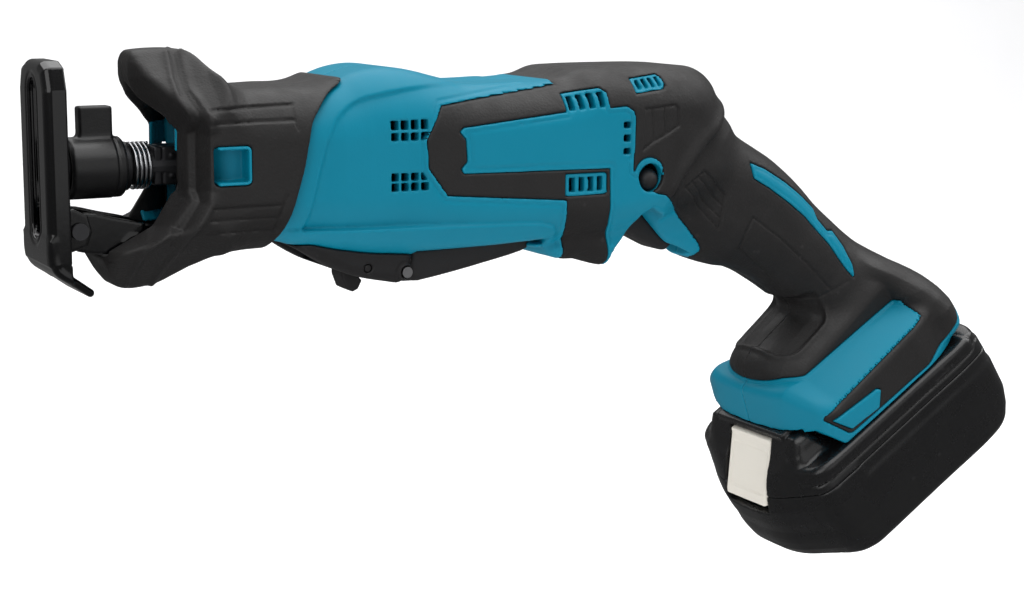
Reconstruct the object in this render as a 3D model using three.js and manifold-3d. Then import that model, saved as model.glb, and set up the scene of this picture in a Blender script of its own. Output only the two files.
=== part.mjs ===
// Compact cordless reciprocating saw with a slide-on battery pack.
// Millimetres, +Z up. The origin is the blade seat: the flat at the bottom of the
// blade slot in the plunger's nose, on the plunger and motor axis. +X runs back
// along the barrel and Y = 0 is the mid plane (the tool's left side is -Y).
// The dimensions below are drawn with X = 0 at the front face of the shoe, and
// every piece is then moved forward by SEAT_X.
import * as THREE from "three";
import { mergeVertices } from "three/addons/utils/BufferGeometryUtils.js";
import Module from "manifold-3d";

const wasm = await Module();
wasm.setup();
const { Manifold, Mesh } = wasm;

// ---------------------------------------------------------------- dimensions
const SEAT_X = 34; // blade seat behind the front face of the shoe
const GAP = 0.3; // clearance between neighbouring pieces
const WALL = 3.6; // housing wall, overmould included
const SKIN = 1.5; // overmould thickness

// Drive: a pinion on the motor shaft turns a face gear with a crank pin.
const STROKE = 13;
const GEAR_TEETH = 24;
const PINION_TEETH = 8;
const GEAR_PITCH_R = 16;
const PINION_R = (GEAR_PITCH_R * PINION_TEETH) / GEAR_TEETH;
const GEAR_X = 83;
const PIN_X = GEAR_X - STROKE / 2;
const GEAR_FACE_Y = 6.9;
const PLUNGER_R = 6;
const BLADE_SLOT_HALF = 0.8; // half thickness of the blade slot

// Motor
const CAN_R = 20.5;
const CAN_X = [133, 181];
const SHAFT_R = 4;
const ROTOR_BORE_R = 4.4; // bore of everything carried on the shaft

// Battery
const PACK_TILT = (33.04 * Math.PI) / 180; // slope of the battery rails
const PACK_ORIGIN = [269.3, -131.4]; // x, z: front end of the battery's split line
const CELL_R = 8.45;
const CELL_LENGTH = 65;
const CELL_PITCH = [17.45, 17.5]; // along the rails, and between the two rows

// Axes that run across the tool, as [x, z]
const GEAR_AXIS = [GEAR_X, 0];
const CRANK_AXIS = [PIN_X, 0];
const LOCK_OFF_AXIS = [199.6, -9.5];
const SHOE_PIVOT = [9.6, -17.6];
const LEVER_AXIS = [115, -36.6];
const CATCH_AXIS = [101.3, -34.4];
const SCREWS = [
  [114, 22.9], [128, -25.4], [201.6, 20.6], [214, -6], [243, -2], [276, -36],
];

// ---------------------------------------------------------------- materials
const standard = (settings) => new THREE.MeshStandardMaterial(settings);
const TEAL = standard({ color: 0x0d8fa8, roughness: 0.42, metalness: 0 });
const RUBBER = standard({ color: 0x2a2a2b, roughness: 0.75, metalness: 0 });
const BLACK = standard({ color: 0x17171a, roughness: 0.5, metalness: 0 });
const GLOSS = standard({ color: 0x0b0b0c, roughness: 0.18, metalness: 0.1 });
const CREAM = standard({ color: 0xded8cd, roughness: 0.45, metalness: 0 });
const STEEL = standard({ color: 0xa8a9ab, roughness: 0.35, metalness: 1 });
const DARK_STEEL = standard({ color: 0x3a3b3d, roughness: 0.45, metalness: 0.9 });
const ALUMINIUM = standard({ color: 0xb6b8ba, roughness: 0.45, metalness: 0.9 });
const BRONZE = standard({ color: 0xa9793c, roughness: 0.5, metalness: 0.9 });
const COPPER = standard({ color: 0xb8643a, roughness: 0.4, metalness: 0.9 });
const CARBON = standard({ color: 0x1c1c1c, roughness: 0.9, metalness: 0 });
const CELL_WRAP = standard({ color: 0x3c78a8, roughness: 0.4, metalness: 0.1 });
const BOARD_GREEN = standard({ color: 0x1f5a34, roughness: 0.6, metalness: 0 });

// ---------------------------------------------------------------- solids from geometry
const unindexed = (geometry) => (geometry.index ? geometry.toNonIndexed() : geometry);

function solid(geometry) {
  const triangles = unindexed(geometry);
  triangles.deleteAttribute("normal");
  triangles.deleteAttribute("uv");
  const merged = mergeVertices(triangles, 1e-4);
  return new Manifold(
    new Mesh({
      numProp: 3,
      vertProperties: merged.attributes.position.array,
      triVerts: new Uint32Array(merged.index.array),
    }),
  );
}

// A solid from a closed surface, turned outside out if it was wound inwards.
function outward(geometry) {
  const triangles = unindexed(geometry);
  const xyz = triangles.attributes.position.array;
  const corner = (i) => new THREE.Vector3().fromArray(xyz, i);
  let volume = 0;
  for (let i = 0; i < xyz.length; i += 9)
    volume += corner(i).dot(corner(i + 3).cross(corner(i + 6)));
  if (volume < 0)
    for (let i = 0; i < xyz.length; i += 9)
      for (let k = i + 3; k < i + 6; k++) [xyz[k], xyz[k + 3]] = [xyz[k + 3], xyz[k]];
  return solid(triangles);
}

// The same solid with its corners on a 1 um grid, or null if that opens or splits it.
function onGrid(source) {
  const { numVert, vertProperties, triVerts } = source.getMesh();
  const gridIds = new Map();
  const xyz = [];
  const gridIdOf = [];
  for (let i = 0; i < numVert; i++) {
    const steps = [0, 1, 2].map((k) => Math.round(vertProperties[i * 3 + k] * 1e3));
    const key = steps.join();
    if (!gridIds.has(key)) {
      gridIds.set(key, gridIds.size);
      xyz.push(...steps.map((step) => step / 1e3));
    }
    gridIdOf.push(gridIds.get(key));
  }
  const edgeUses = new Map();
  const triangles = [];
  for (let i = 0; i < triVerts.length; i += 3) {
    const face = [0, 1, 2].map((k) => gridIdOf[triVerts[i + k]]);
    if (new Set(face).size < 3) continue;
    triangles.push(...face);
    for (let k = 0; k < 3; k++) {
      const from = face[k];
      const to = face[(k + 1) % 3];
      const key = Math.min(from, to) + "_" + Math.max(from, to);
      edgeUses.set(key, (edgeUses.get(key) || 0) + 1);
    }
  }
  if ([...edgeUses.values()].some((uses) => uses !== 2)) return null;
  // Guards against a rounded mesh that Manifold refuses: the caller then simplifies less.
  try {
    const snapped = new Manifold(
      new Mesh({
        numProp: 3,
        vertProperties: new Float32Array(xyz),
        triVerts: new Uint32Array(triangles),
      }),
    );
    return snapped.decompose().length === 1 ? snapped : null;
  } catch {
    return null;
  }
}

const saw = new THREE.Group();
saw.name = "reciprocating_saw";

// Simplifies a solid, as far as the tolerance allows and it stays closed, and adds it.
function add(name, source, material, tolerance = 0.02) {
  let snapped = null;
  for (let share = 1; !snapped && share > 0.05; share *= 0.8)
    snapped = onGrid(source.asOriginal().simplify(tolerance * share));
  if (!snapped) throw new Error(name + " does not close");
  const { vertProperties, triVerts } = snapped.getMesh();
  const shared = new THREE.BufferGeometry();
  shared.setAttribute("position", new THREE.BufferAttribute(vertProperties, 3));
  shared.setIndex(new THREE.BufferAttribute(new Uint32Array(triVerts), 1));
  const geometry = shared.toNonIndexed();
  geometry.computeVertexNormals();
  const mesh = new THREE.Mesh(geometry, material);
  mesh.name = name;
  mesh.position.x = -SEAT_X;
  saw.add(mesh);
}

// ---------------------------------------------------------------- shape helpers
const radians = (degrees) => (degrees * Math.PI) / 180;
const union = (...solids) => solids.reduce((sum, next) => sum.add(next));
const cut = (body, ...tools) => tools.reduce((rest, tool) => rest.subtract(tool), body);
const largest = (body) => body.decompose().sort((a, b) => b.volume() - a.volume())[0];
// A span is [from, to], or one number for a half width about zero.
const span = (size) => (Array.isArray(size) ? size : [-size, size]);
// Calls make(angle) for count equal steps of a full turn.
const around = (count, make, firstStep = 0) =>
  Array.from({ length: count }, (_, i) => make(((i + firstStep) / count) * 2 * Math.PI));
// Point at a radius and a sideways offset, turned by an angle.
const polar = (radius, offset, angle) => [
  radius * Math.cos(angle) - offset * Math.sin(angle),
  radius * Math.sin(angle) + offset * Math.cos(angle),
];

function box(...sizes) {
  const [[x0, x1], [y0, y1], [z0, z1]] = sizes.map(span);
  return solid(
    new THREE.BoxGeometry(x1 - x0, y1 - y0, z1 - z0)
      .translate((x0 + x1) / 2, (y0 + y1) / 2, (z0 + z1) / 2),
  );
}
function cylX(radius, [x0, x1], { segments = 20, y = 0, z = 0 } = {}) {
  return solid(
    new THREE.CylinderGeometry(radius, radius, x1 - x0, segments)
      .rotateZ(-Math.PI / 2)
      .translate((x0 + x1) / 2, y, z),
  );
}
function cylY(radius, ySpan, [x, z], segments = 20) {
  const [y0, y1] = span(ySpan);
  return solid(
    new THREE.CylinderGeometry(radius, radius, y1 - y0, segments)
      .translate(x, (y0 + y1) / 2, z),
  );
}

const extrude = (points, depth) =>
  new THREE.ExtrudeGeometry(
    new THREE.Shape(points.map(([u, v]) => new THREE.Vector2(u, v))),
    { depth, bevelEnabled: false },
  );
// Side-view polygon of [x, z] points, extruded across the tool.
function prism(points, ySpan) {
  const [y0, y1] = span(ySpan);
  return solid(extrude(points, y1 - y0).rotateX(Math.PI / 2).translate(0, y1, 0));
}
// The same prism on the left and on the right, between two distances from Y = 0.
const prismPair = (points, near, far) => [
  prism(points, [-far, -near]),
  prism(points, [near, far]),
];
// Front-view polygon of [y, z] points, extruded from x0 to x1.
function prismX(points, [x0, x1]) {
  // local (u, v, depth) becomes (depth, u, v)
  const turned = new THREE.Matrix4().set(0, 0, 1, x0, 1, 0, 0, 0, 0, 1, 0, 0, 0, 0, 0, 1);
  return solid(extrude(points, x1 - x0).applyMatrix4(turned));
}

// Profiles are [distance along the axis, radius].
const lathe = (profile, segments) =>
  new THREE.LatheGeometry(
    profile.map(([along, radius]) => new THREE.Vector2(radius, along)),
    segments,
  );
const turnX = (profile, segments) =>
  outward(lathe(profile, segments).rotateZ(-Math.PI / 2));
const turnY = (profile, [x, z], segments) =>
  outward(lathe(profile, segments).translate(x, 0, z));
const tube = ([x0, x1], inner, outer, segments = 20) =>
  turnX([[x0, inner], [x1, inner], [x1, outer], [x0, outer], [x0, inner]], segments);

// Closed surface through a list of rings with equal point counts.
function loft(rings) {
  const count = rings[0].length;
  const xyz = [];
  const triangle = (...corners) => xyz.push(...corners.flat());
  for (let k = 0; k + 1 < rings.length; k++)
    for (let i = 0; i < count; i++) {
      const j = (i + 1) % count;
      triangle(rings[k][i], rings[k + 1][i], rings[k + 1][j]);
      triangle(rings[k][i], rings[k + 1][j], rings[k][j]);
    }
  const middle = (ring) =>
    ring.reduce((sum, point) => sum.map((v, i) => v + point[i] / count), [0, 0, 0]);
  const first = rings[0];
  const last = rings[rings.length - 1];
  const firstMiddle = middle(first);
  const lastMiddle = middle(last);
  for (let i = 0; i < count; i++) {
    const j = (i + 1) % count;
    triangle(firstMiddle, first[i], first[j]);
    triangle(lastMiddle, last[j], last[i]);
  }
  const geometry = new THREE.BufferGeometry();
  geometry.setAttribute("position", new THREE.Float32BufferAttribute(xyz, 3));
  return outward(geometry);
}

// Superellipse ring of one station, drawn in by inset all round.
function stationRing([xTop, zTop, xBottom, zBottom, halfWidth, exponent], count, inset) {
  const shrink = 1 - (2 * inset) / Math.hypot(xTop - xBottom, zTop - zBottom);
  const halfX = ((xTop - xBottom) / 2) * shrink;
  const halfZ = ((zTop - zBottom) / 2) * shrink;
  const bulge = (v) => Math.sign(v) * Math.abs(v) ** (2 / exponent);
  return around(
    count,
    (angle) => {
      const y = (halfWidth - inset) * bulge(Math.cos(angle));
      const rise = bulge(Math.sin(angle));
      return [(xTop + xBottom) / 2 + halfX * rise, y, (zTop + zBottom) / 2 + halfZ * rise];
    },
    0.5,
  );
}
// Stations are [x top, z top, x bottom, z bottom, half width, exponent].
const skinned = (stations, count, inset = 0) =>
  loft(stations.map((station) => stationRing(station, count, inset)));
// Stations square to X, from rows of [x, z top, z bottom, half width, exponent].
const upright = (rows) =>
  rows.map(([x, zTop, zBottom, ...shape]) => [x, zTop, x, zBottom, ...shape]);

// A polygon grown by a distance (shrunk when negative).
function grow(points, distance) {
  const at = (i) => points[(i + points.length) % points.length];
  const normal = ([x0, z0], [x1, z1]) => {
    const length = Math.hypot(z1 - z0, x0 - x1);
    return [(z1 - z0) / length, (x0 - x1) / length];
  };
  let area = 0;
  points.forEach(([x, z], i) => {
    const [nextX, nextZ] = at(i + 1);
    area += x * nextZ - nextX * z;
  });
  const sign = area > 0 ? 1 : -1;
  return points.map((point, i) => {
    const before = normal(at(i - 1), point);
    const after = normal(point, at(i + 1));
    const x = before[0] + after[0];
    const z = before[1] + after[1];
    // the floor limits the reach of sharp corners
    const reach = (2 * sign * distance) / Math.max(x * x + z * z, 0.6);
    return [point[0] + x * reach, point[1] + z * reach];
  });
}

// ---------------------------------------------------------------- battery rail frame
// "along" runs up and back along the rails, "away" is the distance from the
// battery's split line, away from the handle.
const rail = (along, away) => [
  PACK_ORIGIN[0] + along * Math.cos(PACK_TILT) + away * Math.sin(PACK_TILT),
  PACK_ORIGIN[1] + along * Math.sin(PACK_TILT) - away * Math.cos(PACK_TILT),
];
const onRails = (points) => points.map(([along, away]) => rail(along, away));
const railRect = ([along0, along1], [away0, away1]) =>
  onRails([[along0, away0], [along1, away0], [along1, away1], [along0, away1]]);

// Rounded rectangle parallel to the rails; bow pushes its front edge forward.
const CORNER_STEPS = 4;
function slab([away, front, rear, halfWidth, radius, bow]) {
  const points = [];
  const corners = [
    [rear - radius, halfWidth - radius, 0],
    [front + radius, halfWidth - radius, 90],
    [front + radius, -halfWidth + radius, 180],
    [rear - radius, -halfWidth + radius, 270],
  ];
  for (const [centre, centreY, start] of corners)
    for (let i = 0; i <= CORNER_STEPS; i++) {
      const angle = radians(start + (90 * i) / CORNER_STEPS);
      let along = centre + radius * Math.cos(angle);
      const y = centreY + radius * Math.sin(angle);
      if (along < (front + rear) / 2) along -= bow * (1 - (y / halfWidth) ** 2);
      const [x, z] = rail(along, away);
      points.push([x, y, z]);
    }
  return points;
}
// Rows are [away, along front, along rear, half width, corner radius, front bow].
const stack = (rows) => loft(rows.map(slab));

// ---------------------------------------------------------------- outer form
// The barrel: gear case under the boot, gear bulge, motor and rear cap.
// [x top, z top, x bottom, z bottom, half width, exponent]
const BARREL = [
  [44, 21, 44, -22, 22, 3],
  [60, 22.6, 60, -23.5, 24.5, 3.2],
  [80, 23.2, 80, -24.5, 26, 3.2],
  [84.6, 24, 84.6, -25, 27, 3],
  [88, 28, 88, -27, 29, 2.7],
  [97, 29.7, 97, -28.5, 30.5, 2.7],
  [105, 30.2, 105, -29.5, 31, 2.7],
  [114, 29, 114, -30, 31, 2.7],
  [124, 27, 124, -30.5, 30.8, 2.7],
  [135, 24.9, 135, -30.5, 30.5, 2.8],
  [158, 25.2, 158, -31, 30.5, 2.8],
  [172, 26, 172, -31.5, 30.5, 2.8],
  [183, 28.6, 183, -31.5, 30.4, 2.8],
  [205, 29, 205, -29, 29.5, 2.8],
  [222, 29, 220, -24, 27, 2.6],
  [232, 28.6, 229, -20, 24, 2.5],
  [239, 26, 237, -16, 20.5, 2.4],
  [245, 20, 244, -12, 17.5, 2.4],
];
// The pistol handle, from inside the barrel to the battery foot; same columns.
const HANDLE = [
  [214, 22, 204, -20, 22, 2.6],
  [232, 18, 220, -33, 20, 2.6],
  [246, 14.5, 233, -41, 18.5, 2.6],
  [256.5, 5.3, 246, -45.4, 18, 2.6],
  [267, -2.2, 254, -48, 17.6, 2.6],
  [280, -11.8, 264, -52.2, 17.6, 2.6],
  [292, -21.8, 273, -57.6, 18, 2.6],
  [303, -31.5, 280, -62.5, 18.8, 2.7],
  [314, -42.5, 283, -68, 20.5, 2.7],
  [325, -53.5, 286, -80, 21.7, 2.8],
];
// The tail that carries the lower housing down in front of the trigger.
// [x, z top, z bottom, half width, exponent]
const TAIL = upright([
  [169, -20, -33, 25, 3],
  [176, -20, -37.4, 24.5, 3],
  [188, -20, -40.6, 23.5, 3],
  [196, -20, -39.6, 22, 3],
  [202, -20, -33.6, 20.5, 3],
]);
// Battery foot: [away, along front, along rear, half width, corner radius, front bow]
const FOOT = [
  [-48, 30, 72, 13, 10, 2],
  [-45, 24, 80, 19, 13, 3],
  [-39, 20, 85, 23.6, 14, 2.5],
  [-34.5, 16.6, 88, 26, 14, 2.2],
  [-25.4, 13.4, 90.6, 37.2, 14, 3],
  [-19.6, 12.4, 90.6, 37.4, 14, 3],
  [-10.6, 24, 90, 37.4, 10, 2],
];
// The foot drawn in by inset on its sides and its first face.
const foot = (inset) =>
  stack(
    FOOT.map(([away, front, rear, halfWidth, radius, bow], i) => [
      i ? away : away + inset,
      front + inset,
      rear - inset,
      halfWidth - inset,
      radius - inset,
      bow,
    ]),
  );
const outerForm = (inset, count) =>
  union(
    skinned(BARREL, count, inset),
    skinned(HANDLE, count, inset),
    skinned(TAIL, Math.max(8, count - 6), inset),
    foot(inset),
  );

// Side-view outline of the soft overmould (rear cap, C strip, handle, foot top), [x, z].
const OVERMOLD = [
  [123.2, 17.5], [169, 22.6], [170, 45], [262, 45], [345, -30], [352, -52],
  ...onRails([
    [81, -27], [70.3, -41.6], [64.3, -44.4], [32.7, -44.2], [19.3, -44.2], [8, -47], [-8, -50],
  ]),
  [240, -64], [240, -52], [233.5, -41.2],
  [233.5, -36.4], [220.6, -23.8], [208.4, -15.6], [203.2, -14.3], [199.4, -7.5],
  [193.8, -6.6], [195.3, 10.1], [194.2, 13.5], [191.7, 15.2], [168, 14.3],
  [130.3, 10.2], [129, 9], [131.2, 6.6], [131.7, -0.6], [129.5, -2.9],
  [130.4, -4.3], [185, -5.1], [185, -31.9], [184.5, -45], [168, -45],
  [168.4, -15], [124.6, -11.3], [117.9, -2.4], [117.2, 7.1],
];

// ---------------------------------------------------------------- housing
// Gear case section behind its nose: [z top, z bottom, half width, exponent]
const CASE_SECTION = [19.4, -18.6, 21.4, 3.8];
// Gear case stations: [x, z top, z bottom, half width, exponent]
const CASE_NOSE = [15, -15, 17, 3.4];
const CASE_BODY = [[58, 19, -17, 20.6, 3.6], [66, ...CASE_SECTION], [100.6, ...CASE_SECTION]];

const gearCaseSeat = () =>
  union(
    skinned(upright([[49, ...CASE_NOSE], ...CASE_BODY]), 24, -0.4),
    skinned(upright([[100, ...CASE_SECTION], [106, ...CASE_SECTION]]), 24, -0.5),
  );

const REAR_VENTS = [[15.6, 20], [-12.4, -7.4]].map((z) => box([169.6, 182.8], 40, z));
const FRONT_VENTS_Z = [[10.2, 13], [7, 9.4], [-5.7, -3.2], [-9, -6.6]];
const TRIGGER_POCKET = [
  [196, -46], [198, -22], [204, -20.4], [211, -11], [229.5, -22], [235, -35], [231, -47],
];
const BAY = railRect([-30, 84], [-27, -5]); // clear space around the battery rails

function chassis() {
  const shell = union(
    outerForm(0, 16).subtract(prism(OVERMOLD, 60)),
    outerForm(SKIN + 0.8, 16),
  );
  // the foot keeps a solid deck above the battery rails
  const deck = prism(railRect([-30, 130], [-33, 10]), 50);
  const cavity = outerForm(WALL, 10).subtract(deck);
  return cut(
    shell.subtract(cavity),
    // plunger mouth at the front
    box([40, 60], 15, 13.5),
    // passage for the shoe arm under the gear case
    box([40, 112], 9.6, [-34, -19.4]),
    // battery bay: rails, then the upper case
    prism(BAY, 27.5),
    prism(onRails([[-30, -14.5], [85, -14.5], [95, -5], [-30, -5]]), 33.4),
    // pocket for the terminal block in the foot's deck
    prism(railRect([29.6, 76.4], [-35, -20]), 16.4),
    prism(TRIGGER_POCKET, 8.2),
    cylY(4.2, 45, LOCK_OFF_AXIS, 24),
    ...FRONT_VENTS_Z.map((z) => box([104.8, 117.4], 40, z)),
    ...REAR_VENTS,
  );
}

function housing() {
  const inside = outerForm(WALL - 0.4, 10);
  const bosses = SCREWS.map((axis) => cylY(3.6, 22, axis, 14).intersect(inside));
  return cut(
    union(chassis(), ...bosses),
    cylX(22.4, [105, 196.9], { segments: 28 }), // motor bore
    gearCaseSeat(),
    cylY(1.8, [-16, 60], SCREWS[0], 12), // the first screw hole goes deeper
    union(
      ...SCREWS.map((axis) =>
        union(cylY(1.8, [-12, 60], axis, 12), cylY(3.1, [17, 60], axis, 14)),
      ),
    ),
  );
}

// The largest body on one side of the split plane: side is -1 for left, 1 for right.
function half(whole, side) {
  const y = side < 0 ? [-80, -GAP / 2] : [GAP / 2, 80];
  return largest(whole.intersect(box([-100, 500], y, [-250, 100])));
}

const housingWhole = housing();
add("housing_left", half(housingWhole, -1), TEAL, 0.22);
add("housing_right", half(housingWhole, 1), TEAL, 0.22);
SCREWS.forEach((axis, i) => {
  const screw = union(cylY(1.4, [-8, 18], axis, 8), cylY(2.7, [17.4, 19.6], axis, 12));
  add("housing_screw_" + (i + 1), screw, DARK_STEEL);
});

// ---------------------------------------------------------------- overmould
function overmold() {
  const skin = outerForm(0, 16)
    .subtract(outerForm(SKIN, 16))
    .intersect(prism(grow(OVERMOLD, -0.7), 60));
  return cut(
    skin,
    union(cylY(5, 45, LOCK_OFF_AXIS), prism(BAY, 40)),
    ...REAR_VENTS,
    union(...SCREWS.slice(2).map((axis) => cylY(3.4, [5, 60], axis, 14))),
  );
}
const overmoldWhole = overmold();
add("grip_overmold_left", half(overmoldWhole, -1), RUBBER, 0.14);
add("grip_overmold_right", half(overmoldWhole, 1), RUBBER, 0.14);

// ---------------------------------------------------------------- boot
// [x, z top, z bottom, half width, exponent]
const BOOT = upright([
  [19, 34, -34, 13, 1.5],
  [24, 36, -37.5, 17, 1.5],
  [31, 36.4, -39.2, 21.5, 1.6],
  [38, 36.4, -38.2, 25, 1.7],
  [44.5, 36, -34.4, 27.2, 1.9],
  [50, 33, -30.6, 28, 2.2],
  [56.5, 27, -28.3, 28.2, 2.6],
  [62, 25.5, -28, 28.2, 3],
  [76, 25.6, -28.4, 28.6, 3.1],
  [88, 26.4, -29, 29.6, 3.1],
]);
// The hollow in front of the barrel, same columns.
const BOOT_MOUTH = upright([
  [10, 26, -20, 13, 1.6],
  [31, 28, -24, 16, 1.6],
  [38, 27, -24, 18.5, 1.8],
  [43.4, 25, -24, 22, 2.4],
]);
// Side-view polygons cut away in front of the front edge and behind the rear edge, [x, z].
const BOOT_FRONT_CUT = [
  [0, 60], [30, 60], [30, 26], [36.6, 14], [38.4, 9], [38.4, -7],
  [35, -12], [20, -24.5], [19.6, -33], [22, -60], [0, -60],
];
const BOOT_LOW_REAR_EDGE = [[74.6, -8], [71, -21], [69.5, -60]];
const BOOT_REAR_CUT = [
  [92, 60], [90, 27], [80, 13.5], [77, 3], ...BOOT_LOW_REAR_EDGE, [120, -60], [120, 60],
];

function frontBoot() {
  // the barrel's front stations with clearance, run on past both ends
  const barrelSpace = [
    [43, 21, 43, -22, 22, 3],
    ...BARREL.slice(1, 5),
    [96, 30, 96, -29, 31, 2.7],
  ];
  return cut(
    skinned(BOOT, 28),
    union(skinned(BOOT_MOUTH, 28), skinned(barrelSpace, 28, -GAP)),
    prism(BOOT_FRONT_CUT, 60),
    // sloping rear edge on both sides
    ...prismPair(BOOT_REAR_CUT, 10, 60),
    // side windows
    box([53.5, 63.5], 60, [-5.4, 4.8]),
    // floor passage for the shoe arm
    box([16, 90], 10.8, [-26.8, -13]),
    // the lower rear edge runs right across
    prism([...BOOT_LOW_REAR_EDGE, [120, -60], [120, -8]], 60),
  );
}
add("front_boot", largest(frontBoot()), RUBBER, 0.14);

// ---------------------------------------------------------------- gear case
// Hollow of the case: [x, z top, z bottom, half width, exponent]
const CASE_HOLLOW = upright([
  [61, 17.8, -17.4, 18, 4],
  [68, 18.4, -17.8, 20, 4],
  [103, 18.4, -17.8, 20, 4],
]);
const gearCase = () =>
  cut(
    skinned(upright([[50, ...CASE_NOSE], ...CASE_BODY]), 24),
    skinned(CASE_HOLLOW, 24),
    cylX(9.3, [45, 66], { segments: 24 }), // bush seat
    cylX(10.8, [45, 52], { segments: 24 }), // seal seat
    cylY(4, [10, 30], GEAR_AXIS), // axle head
  );
const gearCaseCover = () =>
  cut(
    union(
      skinned(upright([[101, ...CASE_SECTION], [104.4, ...CASE_SECTION]]), 24),
      cylX(13, [104, 112], { segments: 24 }),
    ),
    cylX(6.9, [90, 108.2], { segments: 24 }), // passage of the pinion
    cylX(9.8, [106.6, 120], { segments: 24 }), // bearing seat
  );
add("gear_case", gearCase(), ALUMINIUM);
add("gear_case_cover", gearCaseCover(), ALUMINIUM);
add("plunger_bush", tube([52.4, 64], PLUNGER_R + 0.4, 9, 24), BRONZE);
add("plunger_seal", tube([49.5, 51.8], PLUNGER_R + 0.4, 10.4), CARBON);
add("front_bearing", tube([107, 112], ROTOR_BORE_R, 9.5), STEEL);

// ---------------------------------------------------------------- plunger
function plunger() {
  const yoke = box([PIN_X - 6.6, PIN_X + 6.6], [-5.6, 4], 13.6)
    .subtract(box([PIN_X - 3.9, PIN_X + 3.9], 20, 10.4));
  return cut(
    union(cylX(PLUNGER_R, [29.5, PIN_X - 6], { segments: 24 }), yoke),
    box([8, SEAT_X], BLADE_SLOT_HALF, 9),
    // flat that passes the drive gear's teeth
    box([51.5, 100], [4, 12], 20),
  );
}
add("plunger", plunger(), STEEL);

// The clamp's inner barrel, pressed on the plunger's nose.
function clampCore() {
  const barrel = turnX(
    [[8.2, 0], [8.2, 6.2], [27.4, 6.2], [27.4, 7.6], [28.6, 7.6], [28.6, 0]],
    24,
  );
  const nose = turnX([[7.2, 0], [7.2, 5.2], [9, 6.2], [9, 0]], 24);
  return union(barrel, nose).subtract(box([0, 40], BLADE_SLOT_HALF, 5.2));
}
add("clamp_core", clampCore(), DARK_STEEL);

// Turned collar with a thumb fin on top.
const COLLAR = [
  [9.4, 6.6], [9.4, 8.6], [10.4, 9.4], [24.4, 9.5], [26.4, 8.4], [26.9, 7.6],
  [26.9, 6.6], [9.4, 6.6],
];
const COLLAR_FIN = [[13.6, 8], [14, 18], [14.8, 18.6], [23.4, 18.9], [24.2, 18.2], [24.2, 8]];
function clampCollar() {
  const fin = prism(COLLAR_FIN, 3).subtract(cylX(6.7, [5, 30], { segments: 28 }));
  return union(turnX(COLLAR, 28), fin);
}
add("clamp_collar", clampCollar(), BLACK);

// Torsion spring: an open helix around the plunger.
const SPRING = { radius: 7, startX: 29.6, pitch: 1.75, turns: 3.2, wireR: 0.62 };
class SpringPath extends THREE.Curve {
  getPoint(t, target = new THREE.Vector3()) {
    const turns = t * SPRING.turns;
    const [y, z] = polar(SPRING.radius, 0, turns * 2 * Math.PI);
    return target.set(SPRING.startX + SPRING.pitch * turns, y, z);
  }
}
function clampSpring() {
  const section = around(5, (angle) => new THREE.Vector2(...polar(SPRING.wireR, 0, angle)));
  return solid(
    new THREE.ExtrudeGeometry(new THREE.Shape(section), {
      steps: 44,
      bevelEnabled: false,
      extrudePath: new SpringPath(),
    }),
  );
}
add("clamp_spring", clampSpring(), STEEL);

// ---------------------------------------------------------------- drive gear
// One tapered tooth that stands out of the gear's face towards -Y.
function faceTooth(angle) {
  const inner = { radius: 13.4, root: 0.6, tip: 0.42 }; // root and tip: half widths
  const outer = { radius: 16.8, root: 0.78, tip: 0.555 };
  const ring = (y, level) =>
    [[inner, -1], [inner, 1], [outer, 1], [outer, -1]].map(([end, side]) => {
      const [x, z] = polar(end.radius, side * end[level], angle);
      return [GEAR_X + x, y, z];
    });
  return loft([ring(GEAR_FACE_Y + 0.8, "root"), ring(GEAR_FACE_Y - 2, "tip")]);
}
function driveGear() {
  const blank = turnY(
    [[GEAR_FACE_Y, 0], [GEAR_FACE_Y, 16.9], [12, 16.9], [12, 6], [14.6, 6], [14.6, 0]],
    GEAR_AXIS,
    32,
  );
  return cut(
    union(blank, ...around(GEAR_TEETH, faceTooth, 0.5)),
    cylY(2.8, [GEAR_FACE_Y - 3, 20], GEAR_AXIS),
    cylY(1.9, [GEAR_FACE_Y - 3, 20], CRANK_AXIS, 16),
  );
}
const gearAxle = () =>
  union(
    cylY(2.4, [GEAR_FACE_Y + 0.2, 20.6], GEAR_AXIS),
    cylY(3.6, [15.2, 21.2], GEAR_AXIS),
  );
add("drive_gear", driveGear(), STEEL);
add("crank_pin", cylY(1.6, [4.6, 11.8], CRANK_AXIS, 16), DARK_STEEL);
add("gear_axle", gearAxle(), STEEL);

// ---------------------------------------------------------------- motor
function armatureShaft() {
  const root = { radius: PINION_R - 2, half: 0.9 };
  const tip = { radius: PINION_R + 0.95, half: 0.5 };
  const tooth = (angle) =>
    prismX(
      [[root, -1], [tip, -1], [tip, 1], [root, 1]].map(([end, side]) =>
        polar(end.radius, side * end.half, angle),
      ),
      [96.7, 100.4],
    );
  return union(
    cylX(PINION_R - 1, [96.6, 101], { segments: 24 }),
    ...around(PINION_TEETH, tooth),
    cylX(SHAFT_R, [100, 194.4]),
  );
}
add("armature_shaft", armatureShaft(), STEEL);

function armatureCore() {
  const slot = (angle) => {
    const [y, z] = polar(12.6, 0, angle);
    return cylX(2.2, [130, 180], { segments: 8, y, z });
  };
  return cut(tube([141, 173], ROTOR_BORE_R, 15.2, 32), ...around(8, slot, 0.5));
}
add("armature_core", armatureCore(), COPPER);
add("commutator", tube([176, 184.4], ROTOR_BORE_R, 9), COPPER);

function coolingFan() {
  const hub = tube([121, 128.6], ROTOR_BORE_R, 7.5);
  const disc = tube([127.2, 128.8], 7, 20, 32);
  const blade = (angle) =>
    solid(new THREE.BoxGeometry(6.4, 12.4, 1.1).translate(124.6, 13.2, 0).rotateX(angle));
  return union(hub, disc, ...around(10, blade));
}
add("cooling_fan", coolingFan(), BLACK);

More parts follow.
